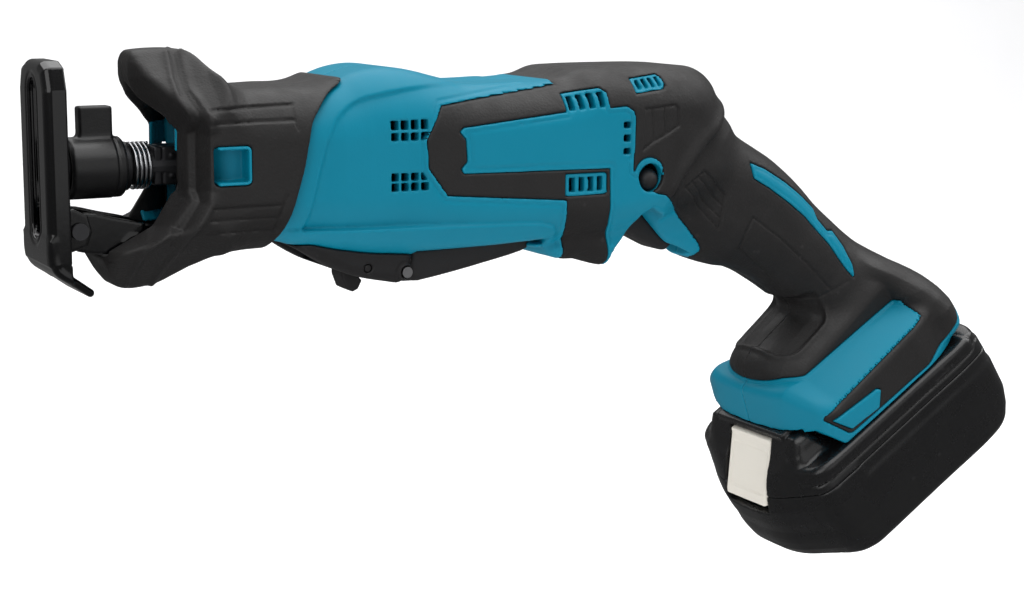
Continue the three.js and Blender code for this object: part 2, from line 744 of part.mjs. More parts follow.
// The can has one window through each side near its front end.
const motorCan = () =>
  tube(CAN_X, 18.6, CAN_R, 36).subtract(box([134.5, 139.5], 30, 7));
add("motor_can", motorCan(), STEEL);
const magnet = (z) => tube([140, 174], 15.8, 18.3, 36).intersect(box([100, 200], 14.5, z));
add("magnet_upper", magnet([3, 30]), DARK_STEEL);
add("magnet_lower", magnet([-30, -3]), DARK_STEEL);

function brushPlate() {
  const holder = (z) => box([176.4, 186], 4.4, z);
  const brushSpace = box([175, 184.6], 3.2, 22).subtract(box([170, 190], 5, 12));
  return union(
    tube([184.9, 187.2], 6, 20.2, 30),
    holder([13, 17.8]),
    holder([-17.8, -13]),
    tube([187, 194.8], 8.4, 11.2, 24), // bearing cup
  ).subtract(brushSpace);
}
const brush = (z) => box([177.4, 183.2], 2.8, z);
add("brush_plate", brushPlate(), BLACK);
add("brush_upper", brush([9.4, 16.8]), CARBON);
add("brush_lower", brush([-16.8, -9.4]), CARBON);
add("rear_bearing", tube([188.8, 193.8], ROTOR_BORE_R, 8), STEEL);

// ---------------------------------------------------------------- shoe
const SHOE_HALF = 14.6; // half width
// Lower toe, bent back, and the pivot ears behind the plate, as [x, z].
const TOE = [
  [0, -22], [2.2, -22], [2.4, -25.6], [14, -36.2], [14.4, -38.4], [12.6, -39.2],
  [7, -38], [0.2, -27.4],
];
const EAR = [
  [1.6, -12.4], [8, -10.6], [12.4, -13], [13.6, -18], [12, -22.4], [6, -24.2], [1.6, -24],
];
// Hollow behind the face, as [y, z].
const SHOE_HOLLOW = [
  [-5.4, 30.8], [5.4, 30.8], [10.4, 29], [12.4, 23.4],
  [12.4, -40], [-12.4, -40], [-12.4, 23.4], [-10.4, 29],
];
const SHOE_SLOT = { half: 4.6, x: [-5, 12], bottom: -16.2, top: 23.4 };

function shoe() {
  const outline = [
    [-7, 33.2], [7, 33.2], [SHOE_HALF - 2.5, 31], [SHOE_HALF, 24],
    [SHOE_HALF, -24], [SHOE_HALF - 3, -27], [3 - SHOE_HALF, -27], [-SHOE_HALF, -24],
    [-SHOE_HALF, 24], [2.5 - SHOE_HALF, 31],
  ];
  const tray = prismX(outline, [0, 7]).subtract(prismX(SHOE_HOLLOW, [2.2, 9]));
  const { half: slotHalf, x, bottom, top } = SHOE_SLOT;
  const slot = union(
    box(x, slotHalf, [bottom, top]),
    cylX(slotHalf, x, { z: top }),
    cylX(slotHalf, x, { z: bottom }),
  );
  const plate = union(tray, prism(TOE, SHOE_HALF)).subtract(slot);
  return union(plate, ...prismPair(EAR, 10.9, 12.9))
    .subtract(cylY(1.9, 20, SHOE_PIVOT, 16));
}
const shoePivotPin = () =>
  union(
    cylY(1.6, 14.2, SHOE_PIVOT, 16),
    cylY(2.6, [13.3, 14.4], SHOE_PIVOT, 16),
    cylY(2.6, [-14.4, -13.3], SHOE_PIVOT, 16),
  );
add("shoe", shoe(), GLOSS);
add("shoe_pivot_pin", shoePivotPin(), STEEL);

// Fork with two cheeks, joined by a web, then a flat tongue that slides below
// the gear case. Outlines are [x, z].
const CHEEK = [
  [6.2, -14], [13, -12.6], [22, -14.6], [34, -17.6], [40, -20.2],
  [40, -24.6], [30, -25.6], [10, -24.2], [6.2, -21],
];
const WEB = [
  [24, -22.2], [26, -20.2], [38, -20.2], [40, -20.2], [40, -24.6], [30, -25.6], [24, -24.6],
];
function shoeArm() {
  const fork = union(union(...prismPair(CHEEK, 8.2, 10.4)), prism(WEB, 10.4));
  // the fork narrows behind x = 31
  const limits = box([0, 31], 30, [-40, 0]).add(box([0, 45], 9.2, [-40, 0]));
  const tongue = box([38, 104], 8.6, [-23.6, -21.2]);
  return cut(
    union(fork.intersect(limits), tongue),
    ...[62, 74, 86].map((x) => box([x, x + 4], 3, [-30, -10])),
    cylY(1.9, 20, SHOE_PIVOT, 16),
  );
}
add("shoe_arm", shoeArm(), GLOSS);

// ---------------------------------------------------------------- shoe lock
// Side-view outlines, [x, z].
const COVER = [
  [71.4, -24.6], [74.4, -26.6], [79.2, -30.4], [85, -34], [92.5, -37], [99, -38.6],
  [112, -40.6], [116.4, -40.6], [117.6, -38.6], [117.9, -31.4], [104, -31.2],
  [92, -30.2], [82, -28.4], [76, -26.6],
];
const LEVER_KNUCKLE = [
  [112.6, -34.6], [118.4, -33.2], [122, -33.4], [122, -40.4], [116, -40.4], [112.8, -39.2],
];
const LEVER_BLADE = [
  [118.3, -31.6], [137, -31.3], [160, -30.8], [170.4, -30.5], [172.9, -31.2],
  [172.7, -32.3], [170.1, -33.6], [146.6, -37.2], [124.5, -40.5], [118.3, -40.5],
];
const CATCH = [
  [98.9, -32.6], [103.7, -32.6], [103.9, -38.4], [106.2, -40.9], [104.8, -43.6],
  [102.9, -44.5], [100.5, -43.3], [98.9, -39],
];
const aroundHousing = outerForm(-GAP, 20);
const leverPinBore = cylY(2.1, 40, LEVER_AXIS, 16);

const lowerCover = () =>
  cut(
    prism(COVER, 20),
    aroundHousing,
    box([106.4, 125], 15.6, [-60, -20]), // lever
    box([60, 125], 9.4, [-34, -20]), // shoe arm
    leverPinBore,
    box([96.4, 107], 5, [-60, -30]), // catch
    cylY(1.6, 40, CATCH_AXIS, 14),
  );
const lockLever = () =>
  cut(union(prism(LEVER_KNUCKLE, 15), prism(LEVER_BLADE, 15)), aroundHousing, leverPinBore);
add("lower_cover", lowerCover(), BLACK);
add("lever_pin", cylY(1.8, 20.4, LEVER_AXIS, 16), STEEL);
add("shoe_lock_lever", lockLever(), BLACK);
// Spring catch that holds the shoe arm's notch.
add("shoe_catch", union(prism(CATCH, 4.6), cylY(1.25, 19.8, CATCH_AXIS, 14)), BLACK);

// ---------------------------------------------------------------- controls
const TRIGGER = [
  [200.2, -31.6], [202.6, -27], [206.3, -22.4], [209.6, -21.3], [221, -29.2],
  [227.4, -35], [226, -37.4], [223.6, -38.4], [220, -37], [212.6, -32.8],
  [206.5, -29.8], [203, -30.4],
];
// Lock-off button, [y, radius].
const LOCK_OFF = [
  [-34.2, 0], [-33.6, 2], [-31.8, 3.3], [-29.8, 3.75], [-25, 3.75], [20, 3.75],
  [27.4, 3.75], [29, 3], [29.4, 0],
];
const HANDLE_SLOPE = radians(38);
// A box of [length, width, height] about [x, z], sloping down to the rear.
const handleBox = ([x, z], size) =>
  solid(new THREE.BoxGeometry(...size).rotateY(HANDLE_SLOPE).translate(x, 0, z));
const lockOffButton = () =>
  turnY(LOCK_OFF, LOCK_OFF_AXIS, 20).subtract(box([190, 210], 5, [-20, -9]));
add("trigger", prism(TRIGGER, 7.2), RUBBER);
add("switch_module", handleBox([232.5, -7.5], [32, 15, 13]), BLACK);
add("lock_off_button", lockOffButton(), RUBBER);
add("control_module", handleBox([259, -24], [20, 20, 10]), BLACK);

// ---------------------------------------------------------------- battery
// The terminal block hangs in a pocket of the foot's deck, with two contact blades.
const terminalBlock = () =>
  union(
    prism(railRect([30, 76], [-32.6, -27.4]), 16),
    ...prismPair(railRect([40, 52], [-28, -23.4]), 11.6, 13),
  );
add("terminal_block", terminalBlock(), BLACK);

// [away, along front, along rear, half width, corner radius, front bow]
const CASE_UPPER = [
  [-10.2, 8.4, 92, 36.6, 7, 7],
  [-8.2, 7, 93, 37.2, 7, 7],
  [-0.3, 1.2, 93, 37.2, 7, 7.4],
];
const CASE_LOWER = [
  [0.1, 0.9, 93, 37.2, 7, 7.4],
  [8, -0.6, 93.4, 37.2, 7, 7.8],
  [22, 1.2, 93.4, 37.2, 7, 7.4],
  [28, 4.6, 92.4, 36.4, 7, 6],
  [32.4, 11, 88, 32.4, 7, 4],
];
const CASE_LOWER_HOLLOW = [
  [-3, 3, 91.5, 34.4, 4, 0],
  [26, 3, 91.5, 34.4, 4, 0],
  [29.9, 7, 89, 33.4, 3, 0],
];
// Wedge in front of the foot that carries the button.
const WEDGE = [
  [-17.4, 11, 13.6, 30, 0.9, 2.4],
  [-14.6, 9.4, 17, 31.4, 3, 3.4],
  [-9.4, 7.6, 24, 34, 6, 6.2],
];
const RELEASE_BUTTON = [
  [-16.8, 9.9, 12.6, 12.4, 0.9, 0.3],
  [-14.6, 8.2, 11.8, 12.9, 1.2, 0.3],
  [1.6, -4.2, -0.6, 12.9, 1.2, 0.3],
  [3.4, -4.9, -1.9, 12.6, 1.2, 0.3],
];
// Button well in each case half, [along, away].
const WELL_HALF = 13.3;
const WELL_UPPER = [[-30, -18], [14.8, -18], [12.25, -14.6], [0.78, 0.4], [-30, 0.4]];
const WELL_LOWER = [[-30, -5], [4.9, -5], [-3.66, 6.2], [-30, 6.2]];

function batteryCaseUpper() {
  const wedge = stack(WEDGE).subtract(prism(railRect([14, 90], [-40, -10.6]), 60));
  return cut(
    union(
      stack(CASE_UPPER),
      wedge,
      // raised block and the rails on its sides
      prism(railRect([10, 83], [-26.4, -9]), 21),
      prism(railRect([12, 82], [-24.4, -19]), 25.2),
    ),
    // hollows of the block and of the case
    prism(railRect([14, 80], [-23, 3]), 19),
    prism(onRails([[8.4, -7.6], [90.4, -7.6], [90.4, 3], [2.2, 3]]), 34.6),
    // contact slots
    ...prismPair(railRect([38, 90], [-30, -20]), 10.8, 13.8),
    prism(onRails(WELL_UPPER), WELL_HALF),
  );
}
const batteryCaseLower = () =>
  cut(stack(CASE_LOWER), stack(CASE_LOWER_HOLLOW), prism(onRails(WELL_LOWER), WELL_HALF));
add("battery_case_upper", largest(batteryCaseUpper()), GLOSS);
add("battery_case_lower", largest(batteryCaseLower()), GLOSS);
add("battery_release_button", stack(RELEASE_BUTTON), CREAM);

const terminalBoard = () =>
  union(
    prism(railRect([20, 84], [-7.3, -6.1]), 28),
    prism(railRect([40, 56], [-19.6, -6]), 9),
  );
add("terminal_board", terminalBoard(), BOARD_GREEN);

// Two rows of five cells, lying across the tool.
const CELLS_PER_ROW = 5;
for (let row = 0; row < 2; row++)
  for (let k = 0; k < CELLS_PER_ROW; k++) {
    const axis = rail(12.2 + CELL_PITCH[0] * k, 3.2 + CELL_PITCH[1] * row);
    const cell = cylY(CELL_R, CELL_LENGTH / 2, axis, 14);
    add("cell_" + (row * CELLS_PER_ROW + k + 1), cell, CELL_WRAP);
  }

export default saw;
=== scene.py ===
# Cordless reciprocating saw. The shoe at its front faces -x, the grip is towards +x, +y is the
# tool's right side and z is up. Shapes are in millimetres: x is counted from the shoe's front
# face and y = 0 is the mid plane. Lights, floor and camera are in metres.
#
# Most pieces are distance fields (negative inside) that are meshed by surface nets.
import math
from functools import reduce
from itertools import product

import bpy
import numpy as np
from mathutils import Matrix, Vector


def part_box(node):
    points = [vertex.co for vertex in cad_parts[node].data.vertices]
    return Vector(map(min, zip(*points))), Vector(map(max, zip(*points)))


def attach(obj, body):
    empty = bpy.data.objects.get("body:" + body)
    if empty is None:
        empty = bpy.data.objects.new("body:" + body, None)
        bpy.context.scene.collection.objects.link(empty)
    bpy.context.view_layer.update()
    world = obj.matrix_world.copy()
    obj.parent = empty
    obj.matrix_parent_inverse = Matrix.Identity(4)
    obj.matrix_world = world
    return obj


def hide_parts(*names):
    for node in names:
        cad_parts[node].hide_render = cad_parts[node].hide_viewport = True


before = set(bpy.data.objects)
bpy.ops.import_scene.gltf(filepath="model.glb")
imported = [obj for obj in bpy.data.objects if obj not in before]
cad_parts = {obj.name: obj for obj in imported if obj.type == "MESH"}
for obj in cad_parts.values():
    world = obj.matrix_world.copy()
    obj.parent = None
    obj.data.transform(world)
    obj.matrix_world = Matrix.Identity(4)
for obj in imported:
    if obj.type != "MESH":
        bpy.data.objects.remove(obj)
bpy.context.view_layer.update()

f32 = np.float32
MM = 0.001
SHOE_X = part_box("shoe")[0].x * 1000  # the shoe's front face in the CAD frame, mm
CELL_SCALE = 1.0
COLL = bpy.context.scene.collection


# ------------------------------------------------------------------ outlines
def smooth_curve(points, closed=True, steps=6, corners=()):
    """Centripetal Catmull-Rom polygon through points; indices in corners stay sharp."""
    points = np.array(points, float)
    count = len(points)
    curve = []
    for i in range(count if closed else count - 1):
        start, end = points[i], points[(i + 1) % count]
        before = points[i - 1] if (closed or i > 0) else start
        after = points[(i + 2) % count] if (closed or i + 2 < count) else end
        if i in corners:
            before = start
        if (i + 1) % count in corners:
            after = end
        gap0 = np.linalg.norm(start - before) ** 0.5 or 1e-6
        gap1 = max(np.linalg.norm(end - start) ** 0.5, 1e-6)
        gap2 = np.linalg.norm(after - end) ** 0.5 or 1e-6
        slope0 = slope1 = end - start
        if gap0 >= 1e-5:
            slope0 = (start - before) / gap0 - (end - before) / (gap0 + gap1)
            slope0 = (slope0 + (end - start) / gap1) * gap1
        if gap2 >= 1e-5:
            slope1 = (end - start) / gap1 - (after - start) / (gap1 + gap2)
            slope1 = (slope1 + (after - end) / gap2) * gap1
        for k in range(steps):
            t = k / steps
            curve.append(
                (2 * t**3 - 3 * t**2 + 1) * start
                + (t**3 - 2 * t**2 + t) * slope0
                + (-2 * t**3 + 3 * t**2) * end
                + (t**3 - t**2) * slope1
            )
    if not closed:
        curve.append(points[-1])
    return np.array(curve)


def polygon_distance(polygon, u, v):
    """Signed distance from points to a closed polygon."""
    polygon = np.asarray(polygon, f32)
    shape = np.shape(u)
    u = np.ravel(u).astype(f32)
    v = np.ravel(v).astype(f32)
    nearest = np.full(u.shape, 1e12, f32)
    inside = np.zeros(u.shape, bool)
    for start, end in zip(polygon, np.roll(polygon, -1, 0)):
        edge_u, edge_v = end - start
        from_u, from_v = u - start[0], v - start[1]
        length2 = max(edge_u * edge_u + edge_v * edge_v, 1e-12)
        share = np.clip((from_u * edge_u + from_v * edge_v) / length2, 0, 1)
        gap_u, gap_v = from_u - edge_u * share, from_v - edge_v * share
        np.minimum(nearest, gap_u * gap_u + gap_v * gap_v, out=nearest)
        if edge_v != 0:
            crosses = (start[1] > v) != (end[1] > v)
            inside ^= crosses & (u < edge_u * (v - start[1]) / edge_v + start[0])
    distance = np.sqrt(nearest)
    return np.where(inside, -distance, distance).reshape(shape)


class Grid:
    """A plane distance field sampled once and read back with bilinear blending."""

    def __init__(self, distance, low, high, step):
        self.low = np.array(low, float)
        self.step = step
        self.count = np.ceil((np.array(high) - self.low) / step).astype(int) + 1
        axes = [self.low[a] + step * np.arange(self.count[a]) for a in (0, 1)]
        self.values = distance(*np.meshgrid(*axes, indexing="ij")).astype(f32)

    def __call__(self, u, v):
        u = (u - self.low[0]) / self.step
        v = (v - self.low[1]) / self.step
        u_in = np.clip(u, 0, self.count[0] - 1.001)
        v_in = np.clip(v, 0, self.count[1] - 1.001)
        i = u_in.astype(np.int32)
        j = v_in.astype(np.int32)
        part_u = (u_in - i).astype(f32)
        part_v = (v_in - j).astype(f32)
        values = self.values
        blended = (
            values[i, j] * (1 - part_u) * (1 - part_v)
            + values[i + 1, j] * part_u * (1 - part_v)
            + values[i, j + 1] * (1 - part_u) * part_v
            + values[i + 1, j + 1] * part_u * part_v
        )
        beyond = np.hypot(u - u_in, v - v_in) * self.step
        return (blended + beyond).astype(f32)


def outline(points, step=0.5, pad=14.0):
    """Grid of the distance to a closed outline."""
    points = np.asarray(points, float)
    return Grid(
        lambda u, v: polygon_distance(points, u, v), points.min(0) - pad, points.max(0) + pad, step
    )


# ------------------------------------------------------------------ field tools
def table(x, stations):
    """Linear lookup in (position, value) stations."""
    stations = np.array(stations, float)
    return np.interp(x, stations[:, 0], stations[:, 1]).astype(f32)


def union(*shapes):
    return reduce(np.minimum, shapes)


def overlap(*shapes):
    return reduce(np.maximum, shapes)


def smooth_or(a, b, width):
    share = np.clip(0.5 + 0.5 * (b - a) / width, 0, 1)
    return b * (1 - share) + a * share - width * share * (1 - share)


def smooth_and(a, b, width):
    return -smooth_or(-a, -b, width)


def round_and(a, b, radius):
    """Intersection with a true round edge."""
    over_a = np.maximum(a + radius, 0)
    over_b = np.maximum(b + radius, 0)
    return np.minimum(np.maximum(a, b), -radius) + np.hypot(over_a, over_b)


def ellipse_and(a, b, radius_a, radius_b):
    """Intersection whose edge is an ellipse: radius_a deep along a, radius_b along b."""
    over_a = np.maximum(a / radius_a + 1, 0)
    over_b = np.maximum(b / radius_b + 1, 0)
    level = np.hypot(over_a, over_b)
    # distance estimate: level over gradient length
    slope_a = over_a / np.maximum(level, 1e-6) / radius_a
    slope_b = over_b / np.maximum(level, 1e-6) / radius_b
    edge = (level - 1) / np.maximum(np.hypot(slope_a, slope_b), 1e-6)
    return np.where((over_a > 0) & (over_b > 0), edge, np.maximum(a, b))


def cut(shape, tool, radius=None):
    """Takes tool away from shape; the new edge is sharp without a radius."""
    return np.maximum(shape, -tool) if radius is None else round_and(shape, -tool, radius)


def fade(zero_at, one_at, x):
    t = np.clip((x - zero_at) / (one_at - zero_at), 0, 1)
    return t * t * (3 - 2 * t)


def bell(distance, width):
    return np.exp(-((distance / width) ** 2))


def segment(u, v, start, end):
    """Distance to a straight segment in the plane."""
    run_u, run_v = end[0] - start[0], end[1] - start[1]
    share = ((u - start[0]) * run_u + (v - start[1]) * run_v) / (run_u * run_u + run_v * run_v)
    share = np.clip(share, 0, 1)
    return np.hypot(u - start[0] - run_u * share, v - start[1] - run_v * share)


def polyline(u, v, points):
    return union(*(segment(u, v, a, b) for a, b in zip(points[:-1], points[1:])))


def polylines(u, v, lines):
    return union(*(polyline(u, v, line) for line in lines))


def disc(u, v, centre, radius):
    return np.hypot(u - centre[0], v - centre[1]) - radius


def box2(u, v, low, high, radius=0.0):
    mid_u, mid_v = (low[0] + high[0]) / 2, (low[1] + high[1]) / 2
    out_u = abs(u - mid_u) - (high[0] - low[0]) / 2 + radius
    out_v = abs(v - mid_v) - (high[1] - low[1]) / 2 + radius
    outside = np.hypot(np.maximum(out_u, 0), np.maximum(out_v, 0))
    return outside + np.minimum(np.maximum(out_u, out_v), 0) - radius


def box3(x, y, z, low, high, radius=0.0):
    mid = [(a + b) / 2 for a, b in zip(low, high)]
    half = [(b - a) / 2 - radius for a, b in zip(low, high)]
    out = [abs(p - m) - s for p, m, s in zip((x, y, z), mid, half)]
    outside = np.sqrt(
        np.maximum(out[0], 0) ** 2 + np.maximum(out[1], 0) ** 2 + np.maximum(out[2], 0) ** 2
    )
    return outside + np.minimum(np.maximum(out[0], np.maximum(out[1], out[2])), 0) - radius


def convex(u, v, points):
    """Distance bound of a convex polygon, given in either direction."""
    points = np.array(points, float)
    us, vs = points.T
    if 0.5 * np.sum(us * np.roll(vs, -1) - np.roll(us, -1) * vs) < 0:
        points = points[::-1]
    planes = []
    for start, end in zip(points, np.roll(points, -1, 0)):
        edge = end - start
        normal = np.array([edge[1], -edge[0]]) / np.hypot(*edge)
        planes.append((u - start[0]) * normal[0] + (v - start[1]) * normal[1])
    return overlap(*planes)


# ------------------------------------------------------------------ sparse surface nets
BLOCK = 4  # cells along a block's edge
HALF_DIAGONAL = 0.87  # of a unit block
FIELD_MARGIN = 1.7  # allowance for fields that are not true distances
PULLS = 2  # steps that draw the vertices onto the surface
CORNERS = list(product((0, 1), repeat=3))


def surface_net(field, low, high, cell):
    """Vertices (mm) and quads of field = 0 inside the box low..high."""
    low = np.array(low, float) - 2 * cell
    high = np.array(high, float) + 2 * cell
    blocks = np.ceil((high - low) / (cell * BLOCK)).astype(int)
    width = cell * BLOCK

    def sample(points):
        return field(points[:, 0], points[:, 1], points[:, 2])

    # keep only the blocks the surface may pass through
    centres = [low[a] + width * (np.arange(blocks[a]) + 0.5) for a in range(3)]
    centres = [c.ravel() for c in np.meshgrid(*centres, indexing="ij")]
    centres = np.stack(centres, 1).astype(f32)
    keep = [
        np.abs(sample(centres[s : s + 400000])) < width * HALF_DIAGONAL * FIELD_MARGIN
        for s in range(0, len(centres), 400000)
    ]
    block = np.array(np.unravel_index(np.nonzero(np.concatenate(keep))[0], blocks))

    # sample the kept blocks' grid points
    offsets = np.indices((BLOCK + 1,) * 3).reshape(3, -1)
    values = np.empty((block.shape[1], (BLOCK + 1) ** 3), f32)
    for s in range(0, len(values), 3000):
        index = block[:, s : s + 3000, None] * BLOCK + offsets[:, None, :]
        points = (low[:, None, None] + cell * index).astype(f32).reshape(3, -1)
        values[s : s + 3000] = field(*points).reshape(-1, (BLOCK + 1) ** 3)
    values = values.reshape(-1, BLOCK + 1, BLOCK + 1, BLOCK + 1)
    values = np.where(values == 0, f32(1e-6), values)

    # a cell is crossed when its corners differ
    negative = values < 0
    inside = sum(
        negative[:, i : i + BLOCK, j : j + BLOCK, k : k + BLOCK].astype(np.int8)
        for i, j, k in CORNERS
    )
    owner, *local = np.nonzero((inside > 0) & (inside < 8))
    index = block[:, owner] * BLOCK + np.array(local)
    corner = {c: values[owner, local[0] + c[0], local[1] + c[1], local[2] + c[2]] for c in CORNERS}

    # each crossed cell has one vertex, the mean of its edge crossings
    total = np.zeros((len(owner), 3), f32)
    crossings = np.zeros(len(owner), f32)
    for near in CORNERS:
        for axis in range(3):
            if near[axis]:
                continue
            far = tuple(1 if a == axis else near[a] for a in range(3))
            value0, value1 = corner[near], corner[far]
            crossed = (value0 < 0) != (value1 < 0)
            share = np.where(crossed, value0 / np.where(crossed, value0 - value1, 1), 0)
            point = np.full((len(owner), 3), near, f32)
            point[:, axis] += share
            total += point * crossed[:, None]
            crossings += crossed
    vertices = total / crossings[:, None]
    vertices = (low + cell * (index.T + vertices)).astype(f32)

    # sort the cells by code so that neighbours can be looked up
    counts = blocks * BLOCK + 2

    def code_of(cells):
        return (cells[0] * counts[1] + cells[1]) * counts[2] + cells[2]

    codes = code_of(index)
    order = np.argsort(codes)
    codes = codes[order]
    vertices = vertices[order]
    index = index[:, order]

    def row_of(cells):
        wanted = code_of(cells)
        row = np.clip(np.searchsorted(codes, wanted), 0, len(codes) - 1)
        return np.where(codes[row] == wanted, row, -1)

    # a quad round every crossed grid edge
    quads = []
    units = np.eye(3, dtype=int)
    start_in = corner[(0, 0, 0)][order] < 0
    for axis in range(3):
        end_in = corner[tuple(units[axis].tolist())][order] < 0
        rows = np.nonzero(start_in != end_in)[0]
        cells = index[:, rows]
        step1 = units[(axis + 1) % 3][:, None]
        step2 = units[(axis + 2) % 3][:, None]
        ring = [rows, row_of(cells - step1), row_of(cells - step1 - step2), row_of(cells - step2)]
        complete = (ring[1] >= 0) & (ring[2] >= 0) & (ring[3] >= 0)
        quad = np.stack(ring, 1)[complete]
        flip = ~start_in[rows][complete]
        quad[flip] = quad[flip][:, ::-1]
        quads.append(quad)
    quads = np.concatenate(quads)

    # pull the vertices onto the surface
    base = vertices.copy()
    reach = f32(0.35 * cell)
    for _ in range(PULLS):
        value = sample(vertices)
        slope = np.empty_like(vertices)
        for axis in range(3):
            shift = np.zeros(3, f32)
            shift[axis] = reach
            rise = sample(vertices + shift) - sample(vertices - shift)
            slope[:, axis] = rise / (2 * reach)
        steepness = np.maximum((slope * slope).sum(1), 0.05)
        move = -(value / steepness)[:, None] * slope
        vertices = vertices + np.clip(move, -0.7 * cell, 0.7 * cell)
        vertices = np.clip(vertices, base - 0.85 * cell, base + 0.85 * cell)
    used = np.unique(quads)
    renumber = -np.ones(len(vertices), int)
    renumber[used] = np.arange(len(used))
    return vertices[used], renumber[quads]


# ------------------------------------------------------------------ rail frame of the battery
# "along" runs back and up the rails, "depth" runs down and back, square to them.
RAIL_TILT = math.radians(33.04)
RAIL_COS, RAIL_SIN = math.cos(RAIL_TILT), math.sin(RAIL_TILT)
RAIL_X, RAIL_Z = 269.3, -131.4


def rail_points(points):
    """(x, z) of (along, depth) points."""
    return [
        (RAIL_X + a * RAIL_COS + d * RAIL_SIN, RAIL_Z + a * RAIL_SIN - d * RAIL_COS)
        for a, d in points
    ]


def to_rail(x, z):
    x = x - RAIL_X
    z = z - RAIL_Z
    return x * RAIL_COS + z * RAIL_SIN, x * RAIL_SIN - z * RAIL_COS


# ------------------------------------------------------------------ main body
# Side outlines are (x, z); stations are (x, value) unless a note says otherwise.
BARREL_SIDE = outline(smooth_curve([
    (43.6, 20), (60, 22.2), (80, 22.2), (85.5, 23.0), (92.1, 24.9), (97.4, 27.1), (102.7, 28.6),
    (109, 29.3), (115, 28.8), (121, 27.6), (126, 26.3), (131, 25.0), (136.4, 23.6), (146.4, 23.3),
    (157.8, 23.6), (169.4, 24.0), (174.0, 24.7), (180.6, 26.9), (187.2, 27.3), (205.4, 27.5),
    (221, 27.4), (228.0, 26.8), (232.0, 25.2), (236.2, 21.8), (240.2, 15.4), (244.6, 9.2),
    (248, 4.6), (248, -6), (243, -16), (228, -24), (210, -28), (190, -30.5), (165, -31.2),
    (140, -31), (110, -30.4), (92, -28), (80, -25.2), (60, -23.6), (43.6, -22),
], corners=(0, 38)))
HANDLE_SIDE = outline(smooth_curve([
    (208, 12), (225, 20), (238.0, 17.4), (244.8, 7.8), (253.4, 1.3), (261.3, -3.2), (268.9, -7.5),
    (275.9, -12.6), (282.8, -18.6), (289.5, -25.3), (296.9, -31.6), (304.8, -38.0),
    (312.2, -43.5), (319.4, -50.8), (316, -66), (300, -74), (286.5, -68.5), (281.5, -63.4),
    (272.6, -57.2), (265.6, -53), (258.8, -49.3), (252, -46.9), (245.3, -45.7), (237, -43.0),
    (231.2, -40.6), (226.5, -38.2), (219.0, -35.0), (211.5, -28.5), (204.5, -21.5), (200, -12),
]))
TAIL_SIDE = outline(smooth_curve([
    (163.5, -20), (166.8, -26.2), (167.4, -29.5), (167.4, -32.6), (169.6, -35.4), (174, -36.6),
    (179.5, -37.0), (184.8, -38.7), (190.5, -39.9), (197.6, -39.5), (202.4, -37.2),
    (205.3, -33.2), (206.2, -26), (209.5, -19.5), (208, -8), (168, -8),
]))
BARREL_HALF_WIDTH = [
    (40, 21.5), (60, 24.2), (78, 26.4), (84, 27.6), (90, 29.3), (98, 30.4), (106, 31.0),
    (118, 31.2), (135, 30.8), (190, 30.4), (205, 29.8), (220, 28), (232, 25.2), (242, 21.6),
    (250, 19.2), (260, 17.5),
]
# edge rounding of the barrel, measured in z and in y
BARREL_ROUND_Z = [
    (40, 15), (80, 15), (95, 18), (110, 20), (135, 16), (165, 15), (185, 14), (230, 15), (245, 13),
]
BARREL_ROUND_Y = [
    (40, 15), (80, 15), (95, 18), (110, 19), (135, 17), (165, 16), (185, 16), (230, 16), (245, 14),
]
# (distance down the handle, half width)
HANDLE_HALF_WIDTH = [
    (0, 22), (25, 19.5), (45, 17.6), (65, 16.6), (85, 16.9), (105, 18.2), (122, 21.0),
]


def barrel(x, y, z):
    side = abs(y) - table(x, BARREL_HALF_WIDTH)
    return ellipse_and(
        BARREL_SIDE(x, z), side, table(x, BARREL_ROUND_Z), table(x, BARREL_ROUND_Y)
    )


def handle(x, y, z):
    run = (x - 205) * 0.785 - (z - 10) * 0.62
    return ellipse_and(HANDLE_SIDE(x, z), abs(y) - table(run, HANDLE_HALF_WIDTH), 17, 14.5)


def tail(x, y, z):
    """Swelling under the barrel in front of the trigger."""
    return ellipse_and(TAIL_SIDE(x, z), abs(y) - 24.5, 7, 8)


# The foot that holds the battery, in the rail frame: plan is (along, y), sides (along, depth).
FOOT_PLAN = outline(smooth_curve([
    (11.0, 0), (11.3, 10), (12.3, 19), (14.1, 24.5), (16.7, 30), (19.6, 34.6), (24, 37.0),
    (31, 37.4), (60, 37.4), (74, 36.8), (85.5, 32.5), (92.4, 23.5), (94.6, 10), (94.6, -10),
    (92.4, -23.5), (85.5, -32.5), (74, -36.8), (60, -37.4), (31, -37.4), (24, -37.0),
    (19.6, -34.6), (16.7, -30), (14.1, -24.5), (12.3, -19), (11.3, -10),
]))
NOSE_SIDE = outline(smooth_curve([
    (18.6, -33), (18.7, -38.0), (20.2, -41.2), (23.6, -43.6), (30, -45.0), (45, -46.6),
    (60, -48.8), (73, -51), (81, -49.4), (87.4, -42.6), (91.4, -33.0), (91.4, -24), (60, -24),
    (24, -24),
], corners=(0, 11, 13)), step=0.4, pad=16)
REAR_SIDE = outline(smooth_curve([
    (76.6, -20), (76.0, -34), (72, -50), (75, -54.4), (81.5, -51), (87.6, -43.4), (92.0, -34.6),
    (94.4, -24), (94.0, -14), (90, -10.4), (72, -10.4),
]), step=0.5, pad=16)
FOOT_UNDERCUT = outline(
    [(-20, -19.7), (18.4, -19.9), (24.8, -9.4), (24.8, 30), (-20, 30)], step=0.4, pad=16
)
# (depth, half width)
REAR_HALF_WIDTH = [
    (-56, 17), (-50, 20.5), (-45, 24.5), (-40, 28), (-35, 32), (-29, 35.4), (-24, 37.2),
    (-10, 37.4),
]
# (distance from the mid plane, drop)
NOSE_CROWN = [(0, 0), (6, 0.4), (11, 1.5), (16, 3.8), (20, 6.6), (24, 10), (30, 15.4)]
SHOULDER_EDGE = 22.4


